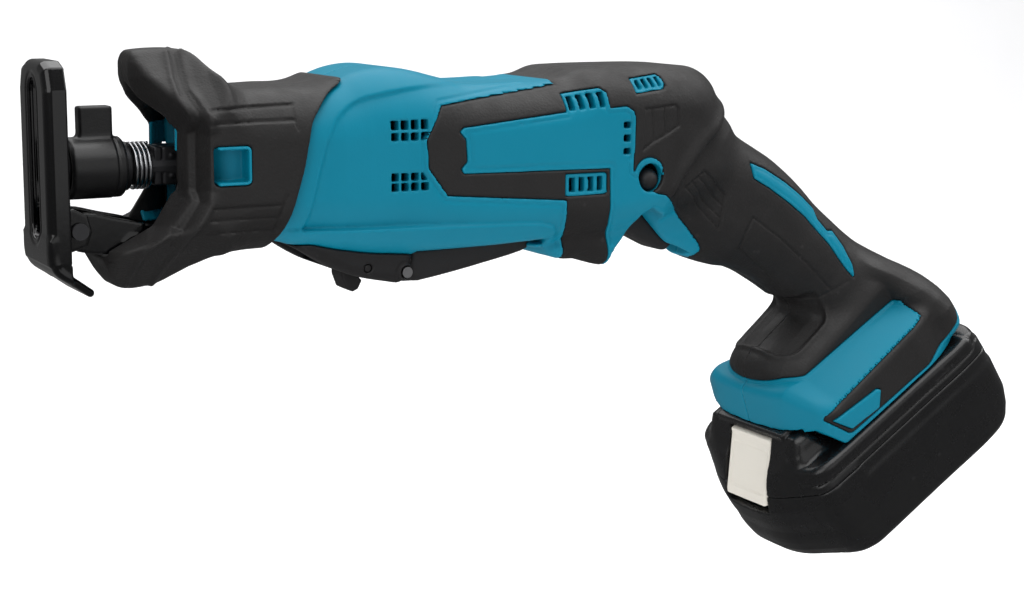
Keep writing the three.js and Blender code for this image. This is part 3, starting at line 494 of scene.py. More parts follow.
def shoulder(along, side):
    """Depth of the sloped shoulder above the foot's side walls, and its gradient length."""
    slope = table(along, [(20, 0.62), (76, 0.34)])
    out = np.maximum(side - SHOULDER_EDGE, 0)
    level = -33.5 - 2.0 * fade(30, 21, along) + slope * out
    return level, np.sqrt(1 + np.where(side > SHOULDER_EDGE, slope * slope, 0))


def foot(x, y, z):
    along, depth = to_rail(x, z)
    side = abs(y)
    lean = 0.26 * np.clip(-19.5 - depth, -6, 22) * fade(52, 30, along)
    level, gradient = shoulder(along, side)
    tray = ellipse_and(FOOT_PLAN(along - lean, y), (level - depth) / gradient, 3.2, 2.4)
    tray = round_and(tray, depth + 10.4, 1.0)
    rear = ellipse_and(REAR_SIDE(along, depth), side - table(depth, REAR_HALF_WIDTH), 9, 12)
    shape = smooth_or(tray, rear, 1.6)
    shape = cut(shape, FOOT_UNDERCUT(along, depth), 0.8)
    crown = table(side, NOSE_CROWN)
    sweep = 4.6 * (side / 18.5) ** 2 * fade(50, 26, along)
    half_width = table(along, [(18, 20.5), (24, 22.2), (76, 22.8), (84, 28)])
    nose = round_and(NOSE_SIDE(along - sweep, depth - crown), side - half_width, 1.6)
    return smooth_or(shape, nose, 0.8)


# open space in front of the trigger, and the step above the shoe lever
TRIGGER_NOTCH = outline([
    (191.0, -70), (190.6, -37.0), (191.6, -33.4), (194.4, -30.2), (197.0, -26.2), (200.0, -21.9),
    (203.9, -19.7), (210.1, -22.8), (221.6, -35.4), (221.6, -70),
], step=0.4, pad=12)
LEVER_LEDGE = outline([
    (117.5, -60), (117.5, -29.4), (145, -28.6), (165.4, -27.2), (166.6, -29.0), (166.6, -31.2),
    (163.4, -31.6), (163.0, -60),
], step=0.4, pad=12)


def plain_body(x, y, z):
    shape = smooth_or(barrel(x, y, z), handle(x, y, z), 4.5)
    shape = smooth_or(shape, tail(x, y, z), 2.0)
    shape = cut(shape, TRIGGER_NOTCH(x, z), 1.2)
    shape = cut(shape, LEVER_LEDGE(x, z), 0.8)
    return smooth_or(shape, foot(x, y, z), 4.5)


# ------------------------------------------------------------------ relief of the skin
SIDE_PANEL = outline(smooth_curve([
    (150, 23), (122, 23.6), (104.6, 21.7), (95.2, 19.4), (88.4, 14.6), (85.0, 8.3), (83.2, 2.5),
    (80.6, -8), (77.6, -20.6), (116.6, -20.8), (140, -21.6), (150, -22),
], corners=(0, 8, 11)), step=0.4)
SKIRT = outline([
    (60, -20.2), (69.8, -20.2), (116.6, -20.5), (150, -21.7), (159.5, -22.2), (164.5, -23.6),
    (167.0, -26.4), (167.6, -34), (150, -60), (60, -60),
], step=0.4)
SHELF = [
    (246.5, 17.0), (240.5, 11.8), (233.5, 5.8), (226.5, 1.2), (221, -4), (216, -9.7),
    (211.8, -15.6),
]


def shelf_side(x, z):
    """Signed distance to the shelf line; positive on the grip side."""
    nearest = np.full_like(x, np.inf)
    turn = np.zeros_like(x)
    for start, end in zip(SHELF[:-1], SHELF[1:]):
        gap = segment(x, z, start, end)
        cross = (end[0] - start[0]) * (z - start[1]) - (end[1] - start[1]) * (x - start[0])
        closer = gap < nearest
        nearest = np.where(closer, gap, nearest)
        turn = np.where(closer, cross, turn)
    return nearest * np.sign(turn)


def relief(x, y, z):
    """How far the skin stands out from the plain body."""
    side = abs(y)
    height = np.zeros_like(x)
    if (x < 172).any():  # the panel and the skirt end before this x
        panel = fade(0.9, -1.1, SIDE_PANEL(x, z))
        height += -1.25 * panel * (1 - fade(104, 146, x)) * fade(12, 20, side)
        skirt = fade(0.7, -0.7, SKIRT(x, z))
        height += 1.1 * skirt * fade(70, 77, x) * (1 - fade(164, 168.5, x)) * fade(8, 14, side)
    # shelf where the cap meets the grip
    shelf = shelf_side(x, z)
    near = fade(208, 218, x) * (1 - fade(243, 254, x)) * fade(9, 17, side)
    height += -2.3 * fade(-0.4, 1.8, shelf) * (1 - fade(4, 24, shelf)) * near
    height += 0.9 * bell(shelf + 1.6, 2.6) * near
    return height.astype(f32)


def skin(x, y, z):
    return plain_body(x, y, z) - relief(x, y, z)


# ------------------------------------------------------------------ front boot
BOOT_SIDE = outline(smooth_curve([
    (28.0, 27.0), (28.2, 32.2), (29.6, 34.9), (33.2, 35.7), (45.6, 35.6), (48.2, 34.4),
    (51.8, 29.6), (56.0, 25.9), (61, 24.0), (76, 24.0), (84, 24.0), (88.5, 24.7), (93.2, 26.4),
    (100, 28.2), (100, -29.4), (88, -27.4), (74, -26.3), (60, -26.4), (50.5, -27.0),
    (45.6, -30.0), (40.2, -33.6), (35.8, -36.3), (27.2, -37.7), (21.8, -35.6), (17.1, -27.4),
    (16.8, 0),
], corners=(0, 12, 13, 24)))
# open space before the front face on the mid plane; the face runs back towards the sides
BOOT_FRONT = outline([
    (-30, 60), (29.0, 60), (29.0, 35), (28.1, 32), (28.1, 27.5), (31.4, 20.5), (39.9, 11.4),
    (39.5, -6.4), (32.4, -17.4), (18.5, -24.4), (17.1, -27.3), (20.9, -35.1), (21.9, -60),
    (-30, -60),
], step=0.4, pad=8)
BOOT_REAR = outline(smooth_curve([
    (97.0, 60), (97.0, 31), (95.9, 27.8), (92.6, 24.9), (88.0, 22.4), (84.6, 19.9), (81.9, 17.0),
    (79.3, 13.4), (77.7, 6.9), (76.4, 0), (74.6, -6.4), (72.0, -14.8), (69.8, -20.6),
    (67.9, -24.4), (66.5, -29), (66.5, -60), (140, -60), (140, 60),
], corners=(0, 1, 14, 15, 16, 17), steps=4), step=0.4, pad=8)
BOOT_BEAD_FRONT = [
    (40.6, 37), (39.8, 33.4), (38.8, 27.5), (38.8, 21.6), (42.2, 14.4), (42.0, -8.8),
    (36.9, -15.8), (27.6, -24.6), (25.4, -35.3), (25.2, -40),
]
BOOT_BEAD_REAR = [
    (45.2, 37), (44.4, 34), (43.7, 24.4), (46.6, 16.0), (46.1, -10.0), (39.8, -20.2),
    (33.9, -35), (33.6, -40),
]
BOOT_GROOVES = [
    [(46.8, 18.2), (74.1, 19.1)],
    [(46.2, 14.0), (73.6, 14.6), (74.2, 11.6)],
    [(46.6, -11.4), (69.2, -11.2), (70.6, -8.4)],
    [(45.4, -18.9), (66.7, -19.1), (69.6, -10.9)],
    [(45.8, -15.0), (67.8, -15.0)],
]
BOOT_HALF_WIDTH = [
    (14, 26.6), (30, 27.2), (44, 27.8), (50, 27.9), (56, 27.7), (70, 28.1), (80, 29.2),
    (88, 30.7), (96, 31.6), (104, 32.2),
]
BOOT_ROUND = [(18, 2.6), (44, 2.8), (50, 7), (56, 13), (60, 15), (84, 16), (100, 19)]
BOOT_BEVEL = [(14, 30.0), (44, 30.4), (50, 32.6), (56, 36.6), (64, 46)]
# (z, half width of the flat middle of the front face)
BOOT_FACE_FLAT = [
    (-40, 7), (-34, 8), (-24, 11), (11.6, 11), (20.5, 5.8), (27, 4.8), (36, 4.8),
]
BEVEL_Y, BEVEL_Z = 0.68, 0.733  # direction of the bevels of the eight-sided mouth


def boot_relief(x, side, z):
    front = polyline(x, z, BOOT_BEAD_FRONT)
    rear = polyline(x, z, BOOT_BEAD_REAR)
    between = 0.35 * bell(np.minimum(abs(front - rear), 9), 0.8) * (front + rear < 7)
    height = 0.8 * bell(front, 1.0) + 0.9 * bell(rear, 1.15) - between
    height += -0.5 * bell(polylines(x, z, BOOT_GROOVES), 0.4) * fade(12, 16, side)
    panels = union(
        box2(x, z, (49, 14), (74, 19), 0.5), box2(x, z, (48, -19), (69, -11.3), 0.5)
    )
    height += -0.3 * fade(0.3, -0.3, panels) * fade(12, 16, side)
    return height * fade(4, 7, side) * (x < 96)


def boot(x, y, z):
    side = abs(y)
    rounding = table(x, BOOT_ROUND)
    shape = ellipse_and(BOOT_SIDE(x, z), side - table(x, BOOT_HALF_WIDTH), rounding, rounding)
    bevel = BEVEL_Y * side + BEVEL_Z * abs(z + 0.9) - table(x, BOOT_BEVEL)
    shape = smooth_and(shape, bevel, 1.6)
    sweep = 0.5 * np.maximum(side - table(z, BOOT_FACE_FLAT), 0)
    shape = cut(shape, BOOT_FRONT(x - sweep, z) * 0.93, 1.5)
    shape = shape - boot_relief(x, side, z)
    # inside: sleeve over the barrel's nose, then the eight-sided mouth
    sleeve = overlap(barrel(x, y, z) - 0.15, 47.5 - x)
    half_width = table(x, [(18, 11.2), (39, 11.2), (42, 13.4), (48, 20.6)])
    mouth = smooth_and(side - half_width, abs(z - 0.5) - 25.5, 1.0)
    bevel = table(x, [(18, 19.4), (38, 19.4), (41, 20.6), (48, 26.2)])
    mouth = smooth_and(mouth, BEVEL_Y * side + BEVEL_Z * abs(z + 0.4) - bevel, 1.0)
    shape = cut(shape, union(sleeve, overlap(mouth, x - 48.5)), 0.7)
    shape = cut(shape, BOOT_REAR(x, z), 0.9)
    # side windows
    shape = cut(shape, overlap(box2(x, z, (47.4, -4.7), (59.2, 7.4), 1.4), 12 - side), 0.5)
    # clearance for the shoe arm
    return cut(shape, box3(x, y, z, (10, -11.2, -26.2), (90, 11.2, -12), 1.0), 0.6)


# ------------------------------------------------------------------ openings of the housing
# rows of square vents: (count, low z, high z, rise of the high z per vent)
VENT_ROWS = [(4, 10.3, 13.3, 0.05), (3, 6.9, 9.5, 0.0), (4, -9.0, -6.4, 0.0), (3, -5.8, -3.2, 0.0)]
VENT_PITCH = 3.42
VENTS = [
    ((104.9 + VENT_PITCH * k, low), (107.6 + VENT_PITCH * k, high + rise * k))
    for count, low, high, rise in VENT_ROWS
    for k in range(count)
] + [((190.4, low), (193.5, high)) for low, high in [(7.9, 10.1), (3.4, 5.8), (-0.8, 1.3)]]
VENT_ENDS = [
    [(115.2, 9.5), (118.2, 9.5), (116.4, 6.9), (115.2, 6.9)],
    [(115.2, -5.8), (117.8, -5.8), (115.9, -3.2), (115.2, -3.2)],
]


def slot_row(corners, pitch, rises):
    """Four slots; corners are those of the first, rises the z steps of each corner."""
    return [
        [(x + pitch * k, z + rise * k) for (x, z), rise in zip(corners, rises)] for k in range(4)
    ]


SLOTS = (
    slot_row(
        [(169.9, 14.2), (172.2, 14.4), (171.8, 19.0), (169.5, 18.8)], 3.75, (0.28, 0.28, 0.42, 0.42)
    )
    + slot_row([(169.8, -12.4), (172.0, -12.4), (172.0, -7.6), (169.8, -7.6)], 3.55, (0,) * 4)
    + slot_row([(197.9, 20.2), (199.6, 20.4), (199.2, 23.4), (197.5, 23.2)], 2.85, (0.27,) * 4)
)
# hard-shell windows in the overmold: the lower one and the one in the cap
WINDOW_LOW = [
    (168.2, -13.6), (183.4, -13.6), (184.2, -12.8), (184.2, -7.2), (183.4, -6.4), (168.2, -6.4),
]
WINDOW_CAP = [
    (196.4, 19.2), (208.3, 20.4), (209.4, 21.4), (209.0, 24.0), (207.8, 24.9), (196.0, 23.8),
]
HOLES = Grid(
    lambda u, v: union(
        *(box2(u, v, low, high, 0.3) for low, high in VENTS),
        *(convex(u, v, points) for points in VENT_ENDS + SLOTS),
    ),
    (98, -20), (216, 32), 0.2,
)
WINDOWS = Grid(
    lambda u, v: union(convex(u, v, WINDOW_LOW), convex(u, v, WINDOW_CAP)),
    (160, -22), (216, 32), 0.25,
)
LOCK_HOLE = (201.9, -9.2)
TRIGGER_MOUTH = outline([
    (196, -46), (198, -22), (204, -20.4), (211, -13), (229.5, -24), (234, -34.5), (231, -47),
], step=0.5, pad=8)

# ------------------------------------------------------------------ where the overmold lies
OVERMOLD_AREA = outline(
    [
        (123.2, 17.5), (168.6, 22.6), (169.6, 24.4), (168.4, 26.4), (170.0, 27.0), (175.6, 28.6),
        (182, 45), (262, 45), (345, -30), (372, -60),
    ]
    + rail_points([
        (110, -27), (95, -22), (90, -17.4), (80.4, -14.6), (69.4, -11.6), (45.2, -12.0),
        (28.6, -12.2), (27.0, -13.2), (21.2, -23.2), (22.4, -24.4), (75, -28.0), (76.8, -28.6),
        (77.2, -31.0), (77.2, -34.0), (60, -34.2), (30, -34.2), (24, -36.4), (8, -36.8), (2, -50),
    ])
    + [
        (240, -64), (240, -52), (234.6, -41.4), (235.3, -38.6), (233.6, -36.2), (220.6, -23.9),
        (208.4, -15.6), (203.8, -14.6), (199.0, -8.5), (194.6, -6.6), (195.4, 10.1),
        (194.6, 13.4), (191.7, 15.2), (184.9, 14.7), (184.4, 19.9), (182.2, 21.3), (168.6, 19.6),
        (168.9, 13.9), (130.3, 10.2), (129, 9), (131.2, 6.6), (131.7, -0.6), (129.5, -2.9),
        (130.4, -4.3), (185.4, -5.1), (185.9, -22), (188.2, -31), (189.6, -37), (190, -45),
        (174, -45), (173.4, -38), (171.0, -31), (169.0, -23), (168.4, -15), (124.6, -11.3),
        (117.9, -2.4), (117.2, 7.1),
    ],
    step=0.4, pad=10,
)
# hard-shell slash down the grip and patch on the side of the foot
SLASH = outline([
    (253.4, -8.0), (260.5, -10.6), (270.4, -16.0), (278.2, -21.4), (283.8, -26.1),
    (284.8, -30.1), (288.9, -34.7), (291.9, -34.9), (295.9, -40.6), (298.7, -47.3),
    (298.9, -52.0), (296, -48.9), (288.7, -39.1), (278.2, -28.5), (270.4, -22.8),
    (261.5, -17.1), (254.3, -13.3),
], step=0.3, pad=8)
BADGE = outline(
    rail_points([(23.8, -21.4), (45.1, -19.6), (46.4, -18.3), (42.6, -12.9), (28.8, -13.9)]),
    step=0.3, pad=8,
)


def rubber_zone(x, z):
    """Negative where the soft overmold covers the hard shell."""
    zone = cut(OVERMOLD_AREA(x, z), SLASH(x, z))
    zone = cut(zone, BADGE(x, z))
    zone = cut(zone, WINDOWS(x, z))
    return np.maximum(zone, 5.9 - np.hypot(x - LOCK_HOLE[0] + 0.7, z - LOCK_HOLE[1] - 0.9))


def thumb_dish(along, y, depth):
    """Depth of the shallow dish on top of the foot, and the strength of its lip."""
    top = fade(-34, -38, depth) * fade(-56, -53, depth) * fade(56, 50, along)
    rim = np.hypot(np.maximum(abs(along - 42) - 6.0, 0), np.maximum(abs(y) - 9.0, 0)) - 8.0
    return 1.3 * top * fade(0.6, -1.8, rim), top * bell(rim - 0.9, 0.95)


# ------------------------------------------------------------------ hard shell, right half
HALF_GAP = 0.07  # from the mid plane to each half
# (low, high, corner radius) in (along, y, depth)
BATTERY_BAY = [
    ((20, -27.5, -27), (84, 27.5, -5), 0.0),
    ((-30, -27.5, -21.2), (20, 27.5, -5), 0.0),
    ((-30, -33.4, -14.5), (88, 33.4, -5), 0.5),
    ((29.6, -16.4, -35), (76.4, 16.4, -20), 0.0),
]


def window_rim(x, side, z):
    """Raised frame round the window that shows through the boot."""
    frame_line = abs(box2(x, z, (46.6, -4.0), (58.6, 6.8), 1.2)) - 0.45
    return overlap(frame_line, side - 28.3, 20 - side, 48.6 - x)


def mouth_liner(x, side, z):
    """Bevelled and upright plates inside the boot's mouth."""
    bevel = table(x, [(36, 19.2), (41, 20.4), (48, 25.8)])
    plate = BEVEL_Y * side - BEVEL_Z * (z + 0.4) - bevel
    half_width = table(x, [(18, 10.9), (39, 10.9), (42, 13.0), (48, 20.0)])
    bevelled = overlap(
        abs(plate + 0.55) - 0.62, z + 5.6, -18.6 - z, 5.2 - side, x - 49.5, 36.5 - x,
        side - half_width,
    )
    wall = side - table(x, [(39, 11.0), (42, 13.2), (48, 20.2)])
    upright = overlap(abs(wall + 0.55) - 0.62, abs(z - 8.6) - 3.6, x - 49.5, 40.5 - x)
    return union(bevelled, upright)


def housing(x, y, z):
    side = abs(y)
    surface = skin(x, y, z)
    along, depth = to_rail(x, z)
    sunk = thumb_dish(along, y, depth)[0]
    zone = rubber_zone(x, z)
    # grooves beside the overmold and inside the slash; the slash and badge stand out
    shape = surface + 0.34 * bell(zone - 1.5, 0.42) * fade(8, 14, side) * (x > 112) * (x < 200)
    slash = SLASH(x, z)
    shape = shape + 0.30 * bell(np.minimum(slash, 0) + 1.1, 0.35) * (x > 250)
    shape = shape - 0.5 * fade(0.2, -0.5, slash) - 0.55 * fade(0.2, -0.5, BADGE(x, z))
    shape = shape + 0.5 * fade(0.3, -0.3, WINDOWS(x, z))
    # seat of the overmold, and the hollow inside
    shape = cut(shape, overlap(zone, -(surface + sunk + 2.0)))
    shape = cut(shape, overlap(surface + sunk + 4.0, depth + 38, 52.5 - x))
    # nose opening, eight-sided and narrowing to the back
    narrowing = table(x, [(40, 0), (46, 2.2), (52, 5.5)])
    mouth = smooth_and(side - (20.6 - narrowing), abs(z) - (19.4 - narrowing), 1)
    mouth = smooth_and(mouth, BEVEL_Y * side + BEVEL_Z * abs(z) - (25.4 - narrowing), 1)
    shape = cut(shape, overlap(mouth, x - 54))
    # channel of the shoe arm
    shape = cut(shape, box3(x, y, z, (40, -9.8, -34), (112, 9.8, -19.2)))
    for low, high, radius in BATTERY_BAY:
        shape = cut(shape, box3(along, y, depth, low, high, radius))
    shape = cut(shape, overlap(TRIGGER_MOUTH(x, z), side - 8.0), 0.7)
    shape = cut(shape, overlap(disc(x, z, LOCK_HOLE, 4.9), 8 - side), 0.5)
    shape = cut(shape, overlap(HOLES(x, z), 12 - side))
    # window seen through the boot
    pane = table(x, [(40, 23.6), (50, 24.0), (60, 24.6)]) - 1.6 - side
    shape = cut(shape, overlap(box2(x, z, (49.4, -3.2), (57.9, 5.9), 1.0), pane), 0.4)
    shape = cut(shape, box3(x, side, z, (46.8, 22, -4.2), (49.6, 40, 6.9)))
    shape = union(shape, window_rim(x, side, z), mouth_liner(x, side, z))
    return np.maximum(shape, HALF_GAP - y)


# ------------------------------------------------------------------ overmold, right half
GRIP_LOOP = [
    (227.8, -8.7), (241.1, -18.2), (239.5, -30.8), (224.4, -17.6), (218.8, -13.8), (227.8, -8.7),
]
GROOVE_LINES = [
    # patch on the side of the cap
    [
        (199.2, 14.0), (212.0, 15.0), (213.2, 14.0), (213.8, 7.9), (207.9, 5.0), (202.6, 2.8),
        (198.6, 0.3),
    ],
    [(202.0, 14.1), (202.9, 3.0)],
    [(207.1, 14.5), (208.0, 5.1)],
    # patch behind the trigger
    GRIP_LOOP,
    [(221.8, -11.8), (232.8, -21.2), (240.3, -27.0)],
    [(224.8, -10.4), (234.2, -17.6), (240.8, -22.6)],
    # lines down the grip
    [
        (254.2, -27.4), (251.2, -33.2), (250.2, -38.4), (262.8, -47.4), (279.2, -61.0),
        (285.6, -59.1), (296, -53.3),
    ],
    [(254.2, -27.4), (266.4, -35.6), (279.4, -46.2), (290.6, -57.0)],
]
GROOVES = Grid(lambda u, v: polylines(u, v, GROOVE_LINES), (190, -70), (305, 24), 0.25)
CAP_PATCH = outline([
    (199.2, 14.0), (212.0, 15.0), (213.4, 13.6), (213.8, 7.9), (207.9, 5.0), (202.6, 2.8),
    (198.6, 0.3),
], step=0.4, pad=8)
GRIP_PATCH = outline(GRIP_LOOP[:-1], step=0.4, pad=8)


def overmold(x, y, z):
    surface = skin(x, y, z)
    along, depth = to_rail(x, z)
    on_side = fade(7, 11, abs(y))
    shape = surface + 0.45 * bell(GROOVES(x, z), 0.38) * on_side * fade(-49, -53, depth)
    shape = shape + 0.35 * fade(0.4, -0.4, CAP_PATCH(x, z)) * on_side
    shape = shape + 0.30 * fade(0.5, -0.5, GRIP_PATCH(x, z)) * on_side
    sunk, lip = thumb_dish(along, y, depth)
    shape = shape + sunk - 0.85 * lip
    shape = round_and(shape, rubber_zone(x, z) + 0.16, 0.75)
    shape = cut(shape, surface + sunk + 1.85)
    shape = cut(shape, box3(along, y, depth, (-40, -60, -11.2), (140, 60, 20)))
    shape = cut(shape, overlap(TRIGGER_MOUTH(x, z), abs(y) - 8.6), 0.6)
    return np.maximum(shape, HALF_GAP - y)


# ------------------------------------------------------------------ battery, in the rail frame
BATTERY_PLAN = outline(smooth_curve([
    (-6.3, 0), (-5.9, 9), (-4.2, 16), (-2.0, 21), (0.4, 26), (2.8, 30.5), (5.6, 34.6),
    (9.8, 36.8), (16.5, 37.2), (30, 37.2), (60, 37.2), (87, 37.2), (93.6, 35.4), (96.4, 30),
    (97.0, 12), (97.0, -12), (96.4, -30), (93.6, -35.4), (87, -37.2), (60, -37.2), (30, -37.2),
    (16.5, -37.2), (9.8, -36.8), (5.6, -34.6), (2.8, -30.5), (0.4, -26), (-2.0, -21),
    (-4.2, -16), (-5.9, -9),
], steps=4), step=0.6, pad=16)
# (depth, shift of the front or rear wall along the rails)
LEAN_FRONT = [
    (-24, 12), (-19, 9.5), (-18, 8.9), (-13, 5.3), (-7.3, 3.1), (-0.8, 1.6), (6, 0), (12, 0.2),
    (16.5, 0.8), (22, 0.8), (26, 1.2), (30, 3.0), (32, 5.0), (34, 8),
]
LEAN_REAR = [
    (-24, -4), (-16, -2.6), (-6, -0.6), (1, 0), (19, 0), (26, -1.2), (30, -3.0), (34, -6),
]
HUMP_SIDE = outline(
    [(17.9, -40), (17.9, -19.4), (24.2, -9.0), (24.2, 6), (120, 6), (120, -40)], step=0.4, pad=16
)
BUTTON_SIDE = outline([
    (8.9, -17.2), (8.3, -15.4), (-4.9, 1.9), (-5.6, 3.4), (-3.9, 4.2), (1.4, 3.4),
    (13.4, -12.4), (13.4, -17.2),
], step=0.3, pad=8)
BUTTON_WELL = outline(
    [(-30, -17.7), (13.9, -17.7), (13.9, -12.5), (0.1, 5.6), (-0.6, 6.6), (-30, 6.6)],
    step=0.4, pad=16,
)
BUTTON_SLOPE = 0.764  # run along the rails per depth, on the slanted face
BUTTON_SCALE = 1.2585  # gradient length of that slope
SPLIT_GAP = 0.12  # from depth 0 to each case half
WALL = 2.6


def battery_body(along, y, depth):
    """Whole battery before its top is shaped."""
    front = fade(56, 24, along)
    lean = table(depth, LEAN_FRONT) * front + table(depth, LEAN_REAR) * (1 - front)
    lean_front = table(depth, LEAN_FRONT) * front
    lean_rear = table(depth, LEAN_REAR) * (1 - front)
    plan = BATTERY_PLAN(along - lean_front - lean_rear, y)
    shape = round_and(plan + table(depth, [(-26, 0), (20, 0), (33, 1.4)]), depth - 33.4, 3.2)
    # slanted face that carries the button
    slant = (7.2 - BUTTON_SLOPE * (depth + 14.5) - along) / BUTTON_SCALE
    return round_and(shape, slant, 2.2)


def battery_raw(along, y, depth):
    """Battery without side details, and its rails."""
    side = abs(y)
    body = battery_body(along, y, depth)
    # the top stops under the rails, the front climbs to the foot
    shape = round_and(body, -9.6 - depth, 1.8)
    hump = cut(round_and(body, -19.3 - depth, 1.0), HUMP_SIDE(along, depth), 0.8)
    half_width = table(depth, [(-20, 27.4), (-14, 28.4), (-8, 30.6), (-4, 34), (0, 40)])
    hump = round_and(hump, side - half_width, 3.6)
    shape = smooth_or(shape, hump, 2.6)
    rails = round_and(side - 21, abs(along - 46.5) - 36.5, 1.5)
    rails = round_and(rails, overlap(-20.9 - depth, depth + 8), 0.8)
    lips = round_and(side - 25.2, abs(along - 47) - 35, 1)
    lips = round_and(lips, overlap(-19.0 - depth, depth + 15), 0.6)
    return shape, union(rails, lips)


def battery_relief(along, y, depth):
    """Side panel, the bead along its top edge and the line under the bead."""
    on_side = fade(20, 30, abs(y)) * fade(2.6, 7.6, along)
    height = 0.55 * fade(0.7, -0.7, box2(along, depth, (4.0, -5.2), (200, 60), 2.0))
    bead = segment(along, depth, (3.4, -6.9), (87.0, -6.9))
    height = height + 1.35 * np.sqrt(np.maximum(0, 1 - (bead / 3.1) ** 2))
    height = height - 0.9 * bell(bead - 3.4, 0.5) * (depth > -6)
    return height * on_side


def cut_button_well(shape, along, y, depth):
    return cut(shape, overlap(BUTTON_WELL(along, depth), abs(y) - 13.1), 0.35)


def battery_upper(x, y, z):
    along, depth = to_rail(x, z)
    side = abs(y)
    shape, rails = battery_raw(along, y, depth)
    shape = shape - battery_relief(along, y, depth)
    shape = union(np.maximum(shape, depth + SPLIT_GAP), rails)
    bump = box3(along, side, depth, (89.4, 15, -14.6), (94.3, 24, -3.0), 1.6)
    shape = smooth_or(shape, bump, 1.2)
    # inside, the channel under the rails and the two slots through them
    shape = cut(shape, overlap(battery_body(along, y, depth) + WALL, -7.4 - depth))
    shape = cut(shape, box3(along, y, depth, (14, -19, -19.75), (80, 19, 3)))
    shape = cut(shape, box3(along, side, depth, (38, 10.8, -30), (90, 13.8, -20)))
    return cut_button_well(shape, along, y, depth)


def battery_lower(x, y, z):
    along, depth = to_rail(x, z)
    shape, _ = battery_raw(along, y, depth)
    shape = shape - battery_relief(along, y, depth)
    shape = round_and(shape, SPLIT_GAP - depth, 0.35)
    inside = overlap(battery_body(along, y, depth) + WALL, depth - 29.9, -4 - depth)
    shape = cut_button_well(cut(shape, inside), along, y, depth)
    # four case-screw pockets
    for pocket in (8, 84):
        hole = disc(along, abs(y), (pocket, 27), 2.9)
        shape = cut(shape, overlap(hole, 27.5 - depth), 0.4)
    return shape


def button(x, y, z):
    along, depth = to_rail(x, z)
    shape = ellipse_and(BUTTON_SIDE(along, depth), abs(y) - 12.7, 1.2, 1.6)
    # shallow finger panel inside a rim
    inward = (along + BUTTON_SLOPE * (depth + 14.5) - 8.0) / BUTTON_SCALE
    down = (-BUTTON_SLOPE * (along - 8.0) + (depth + 14.5)) / BUTTON_SCALE
    panel = fade(0.4, -0.5, box2(y, down, (-11.0, 1.6), (11.0, 18.6), 1.6))
    return shape + 0.45 * panel * (inward < 2.5)


# ------------------------------------------------------------------ shoe and its arm
SHOE_FACE = outline([  # (y, z)
    (-7.2, 33.0), (7.2, 33.0), (12.0, 31.2), (14.5, 24.5), (14.6, -24), (14.6, -60),
    (-14.6, -60), (-14.6, -24), (-14.5, 24.5), (-12.0, 31.2),
], step=0.3, pad=8)
TOE_BEND = smooth_curve(
    [(1.15, -20), (1.25, -25.6), (2.7, -29.4), (7.6, -32.9), (12.9, -36.8)],
    closed=False, steps=5,
)
CHEEK = [
    (0.4, -20), (7, -20), (7, -28.0), (10.6, -33.9), (12.4, -37.8), (8.0, -34.4), (2.4, -29.4),
]
EAR = [
    (1.6, -12.4), (8, -10.6), (12.4, -13), (13.6, -18), (12, -22.4), (6, -24.2), (1.6, -24),
]
SHOE_PIVOT = (9.6, -17.6)
SHOE_PIVOT_RADIUS = 1.9
SHOE_HALF_WIDTH = 14.6
SHOE_DEPTH = 7.0


def shoe(x, y, z):
    side = abs(y)
    face = SHOE_FACE(y, z)
    plate = ellipse_and(face, -x, 3.0, 3.0)
    plate = overlap(plate, x - SHOE_DEPTH, -27.5 - z)
    plate = round_and(plate, x - SHOE_DEPTH, 0.9)
    plate = cut(plate, overlap(face + 2.3, 2.2 - x, -28.5 - z), 0.6)
    # bent toe
    half_width = table(x, [(0, SHOE_HALF_WIDTH), (8, 13.6), (14, 12.2)])
    toe = ellipse_and(polyline(x, z, TOE_BEND) - 1.25, side - half_width, 1.0, 1.6)
    toe = np.maximum(toe, z + 19)
    # side cheeks carry on along the toe and fade out
    cheek = overlap(side - SHOE_HALF_WIDTH, 12.3 - side, convex(x, z, CHEEK))
    cheek = round_and(cheek, side - SHOE_HALF_WIDTH, 0.8)
    shape = smooth_or(union(plate, cheek), toe, 1.2)
    # blade slot with a groove round it
    slot = np.hypot(y, z - np.clip(z, -16.2, 23.4))
    shape = cut(shape, slot - 4.4, 0.7)
    shape = shape + 0.35 * bell(slot - 5.9, 0.5) * (x < 1.5)
    ear = round_and(convex(x, z, EAR), overlap(side - 12.9, 10.9 - side), 0.5)
    return cut(union(shape, ear), disc(x, z, SHOE_PIVOT, SHOE_PIVOT_RADIUS), 0.2)


ARM_SIDE = outline(smooth_curve([
    (6.2, -14), (13, -12.6), (22, -14.6), (34, -17.6), (40, -20.2), (40, -24.6), (30, -25.6),
    (10, -24.2), (6.2, -21),
], steps=4), step=0.3, pad=6)
ARM_WEB = [(24, -22.2), (26, -20.2), (40, -20.2), (40, -24.6), (30, -25.6), (24, -24.6)]
FORK_INNER = 8.2


def arm(x, y, z):
    side = abs(y)
    profile = ARM_SIDE(x, z)
    outer = 10.4 - 1.2 * fade(30.0, 31.0, x)
    cheeks = abs(side - (outer + FORK_INNER) / 2) - (outer - FORK_INNER) / 2
    shape = round_and(profile, cheeks, 0.5)
    web = round_and(overlap(profile, convex(x, z, ARM_WEB)), side - outer, 0.4)
    web = round_and(web, 23.6 - x, 0.4)
    shape = smooth_or(shape, web, 1.0)
    tongue = box3(x, y, z, (38, -8.6, -23.6), (104, 8.6, -21.2), 0.5)
    for notch in (62, 74, 86):
        tongue = cut(tongue, box3(x, y, z, (notch, -3, -30), (notch + 4, 3, -10), 0.4), 0.2)
    return cut(union(shape, tongue), disc(x, z, SHOE_PIVOT, SHOE_PIVOT_RADIUS), 0.2)


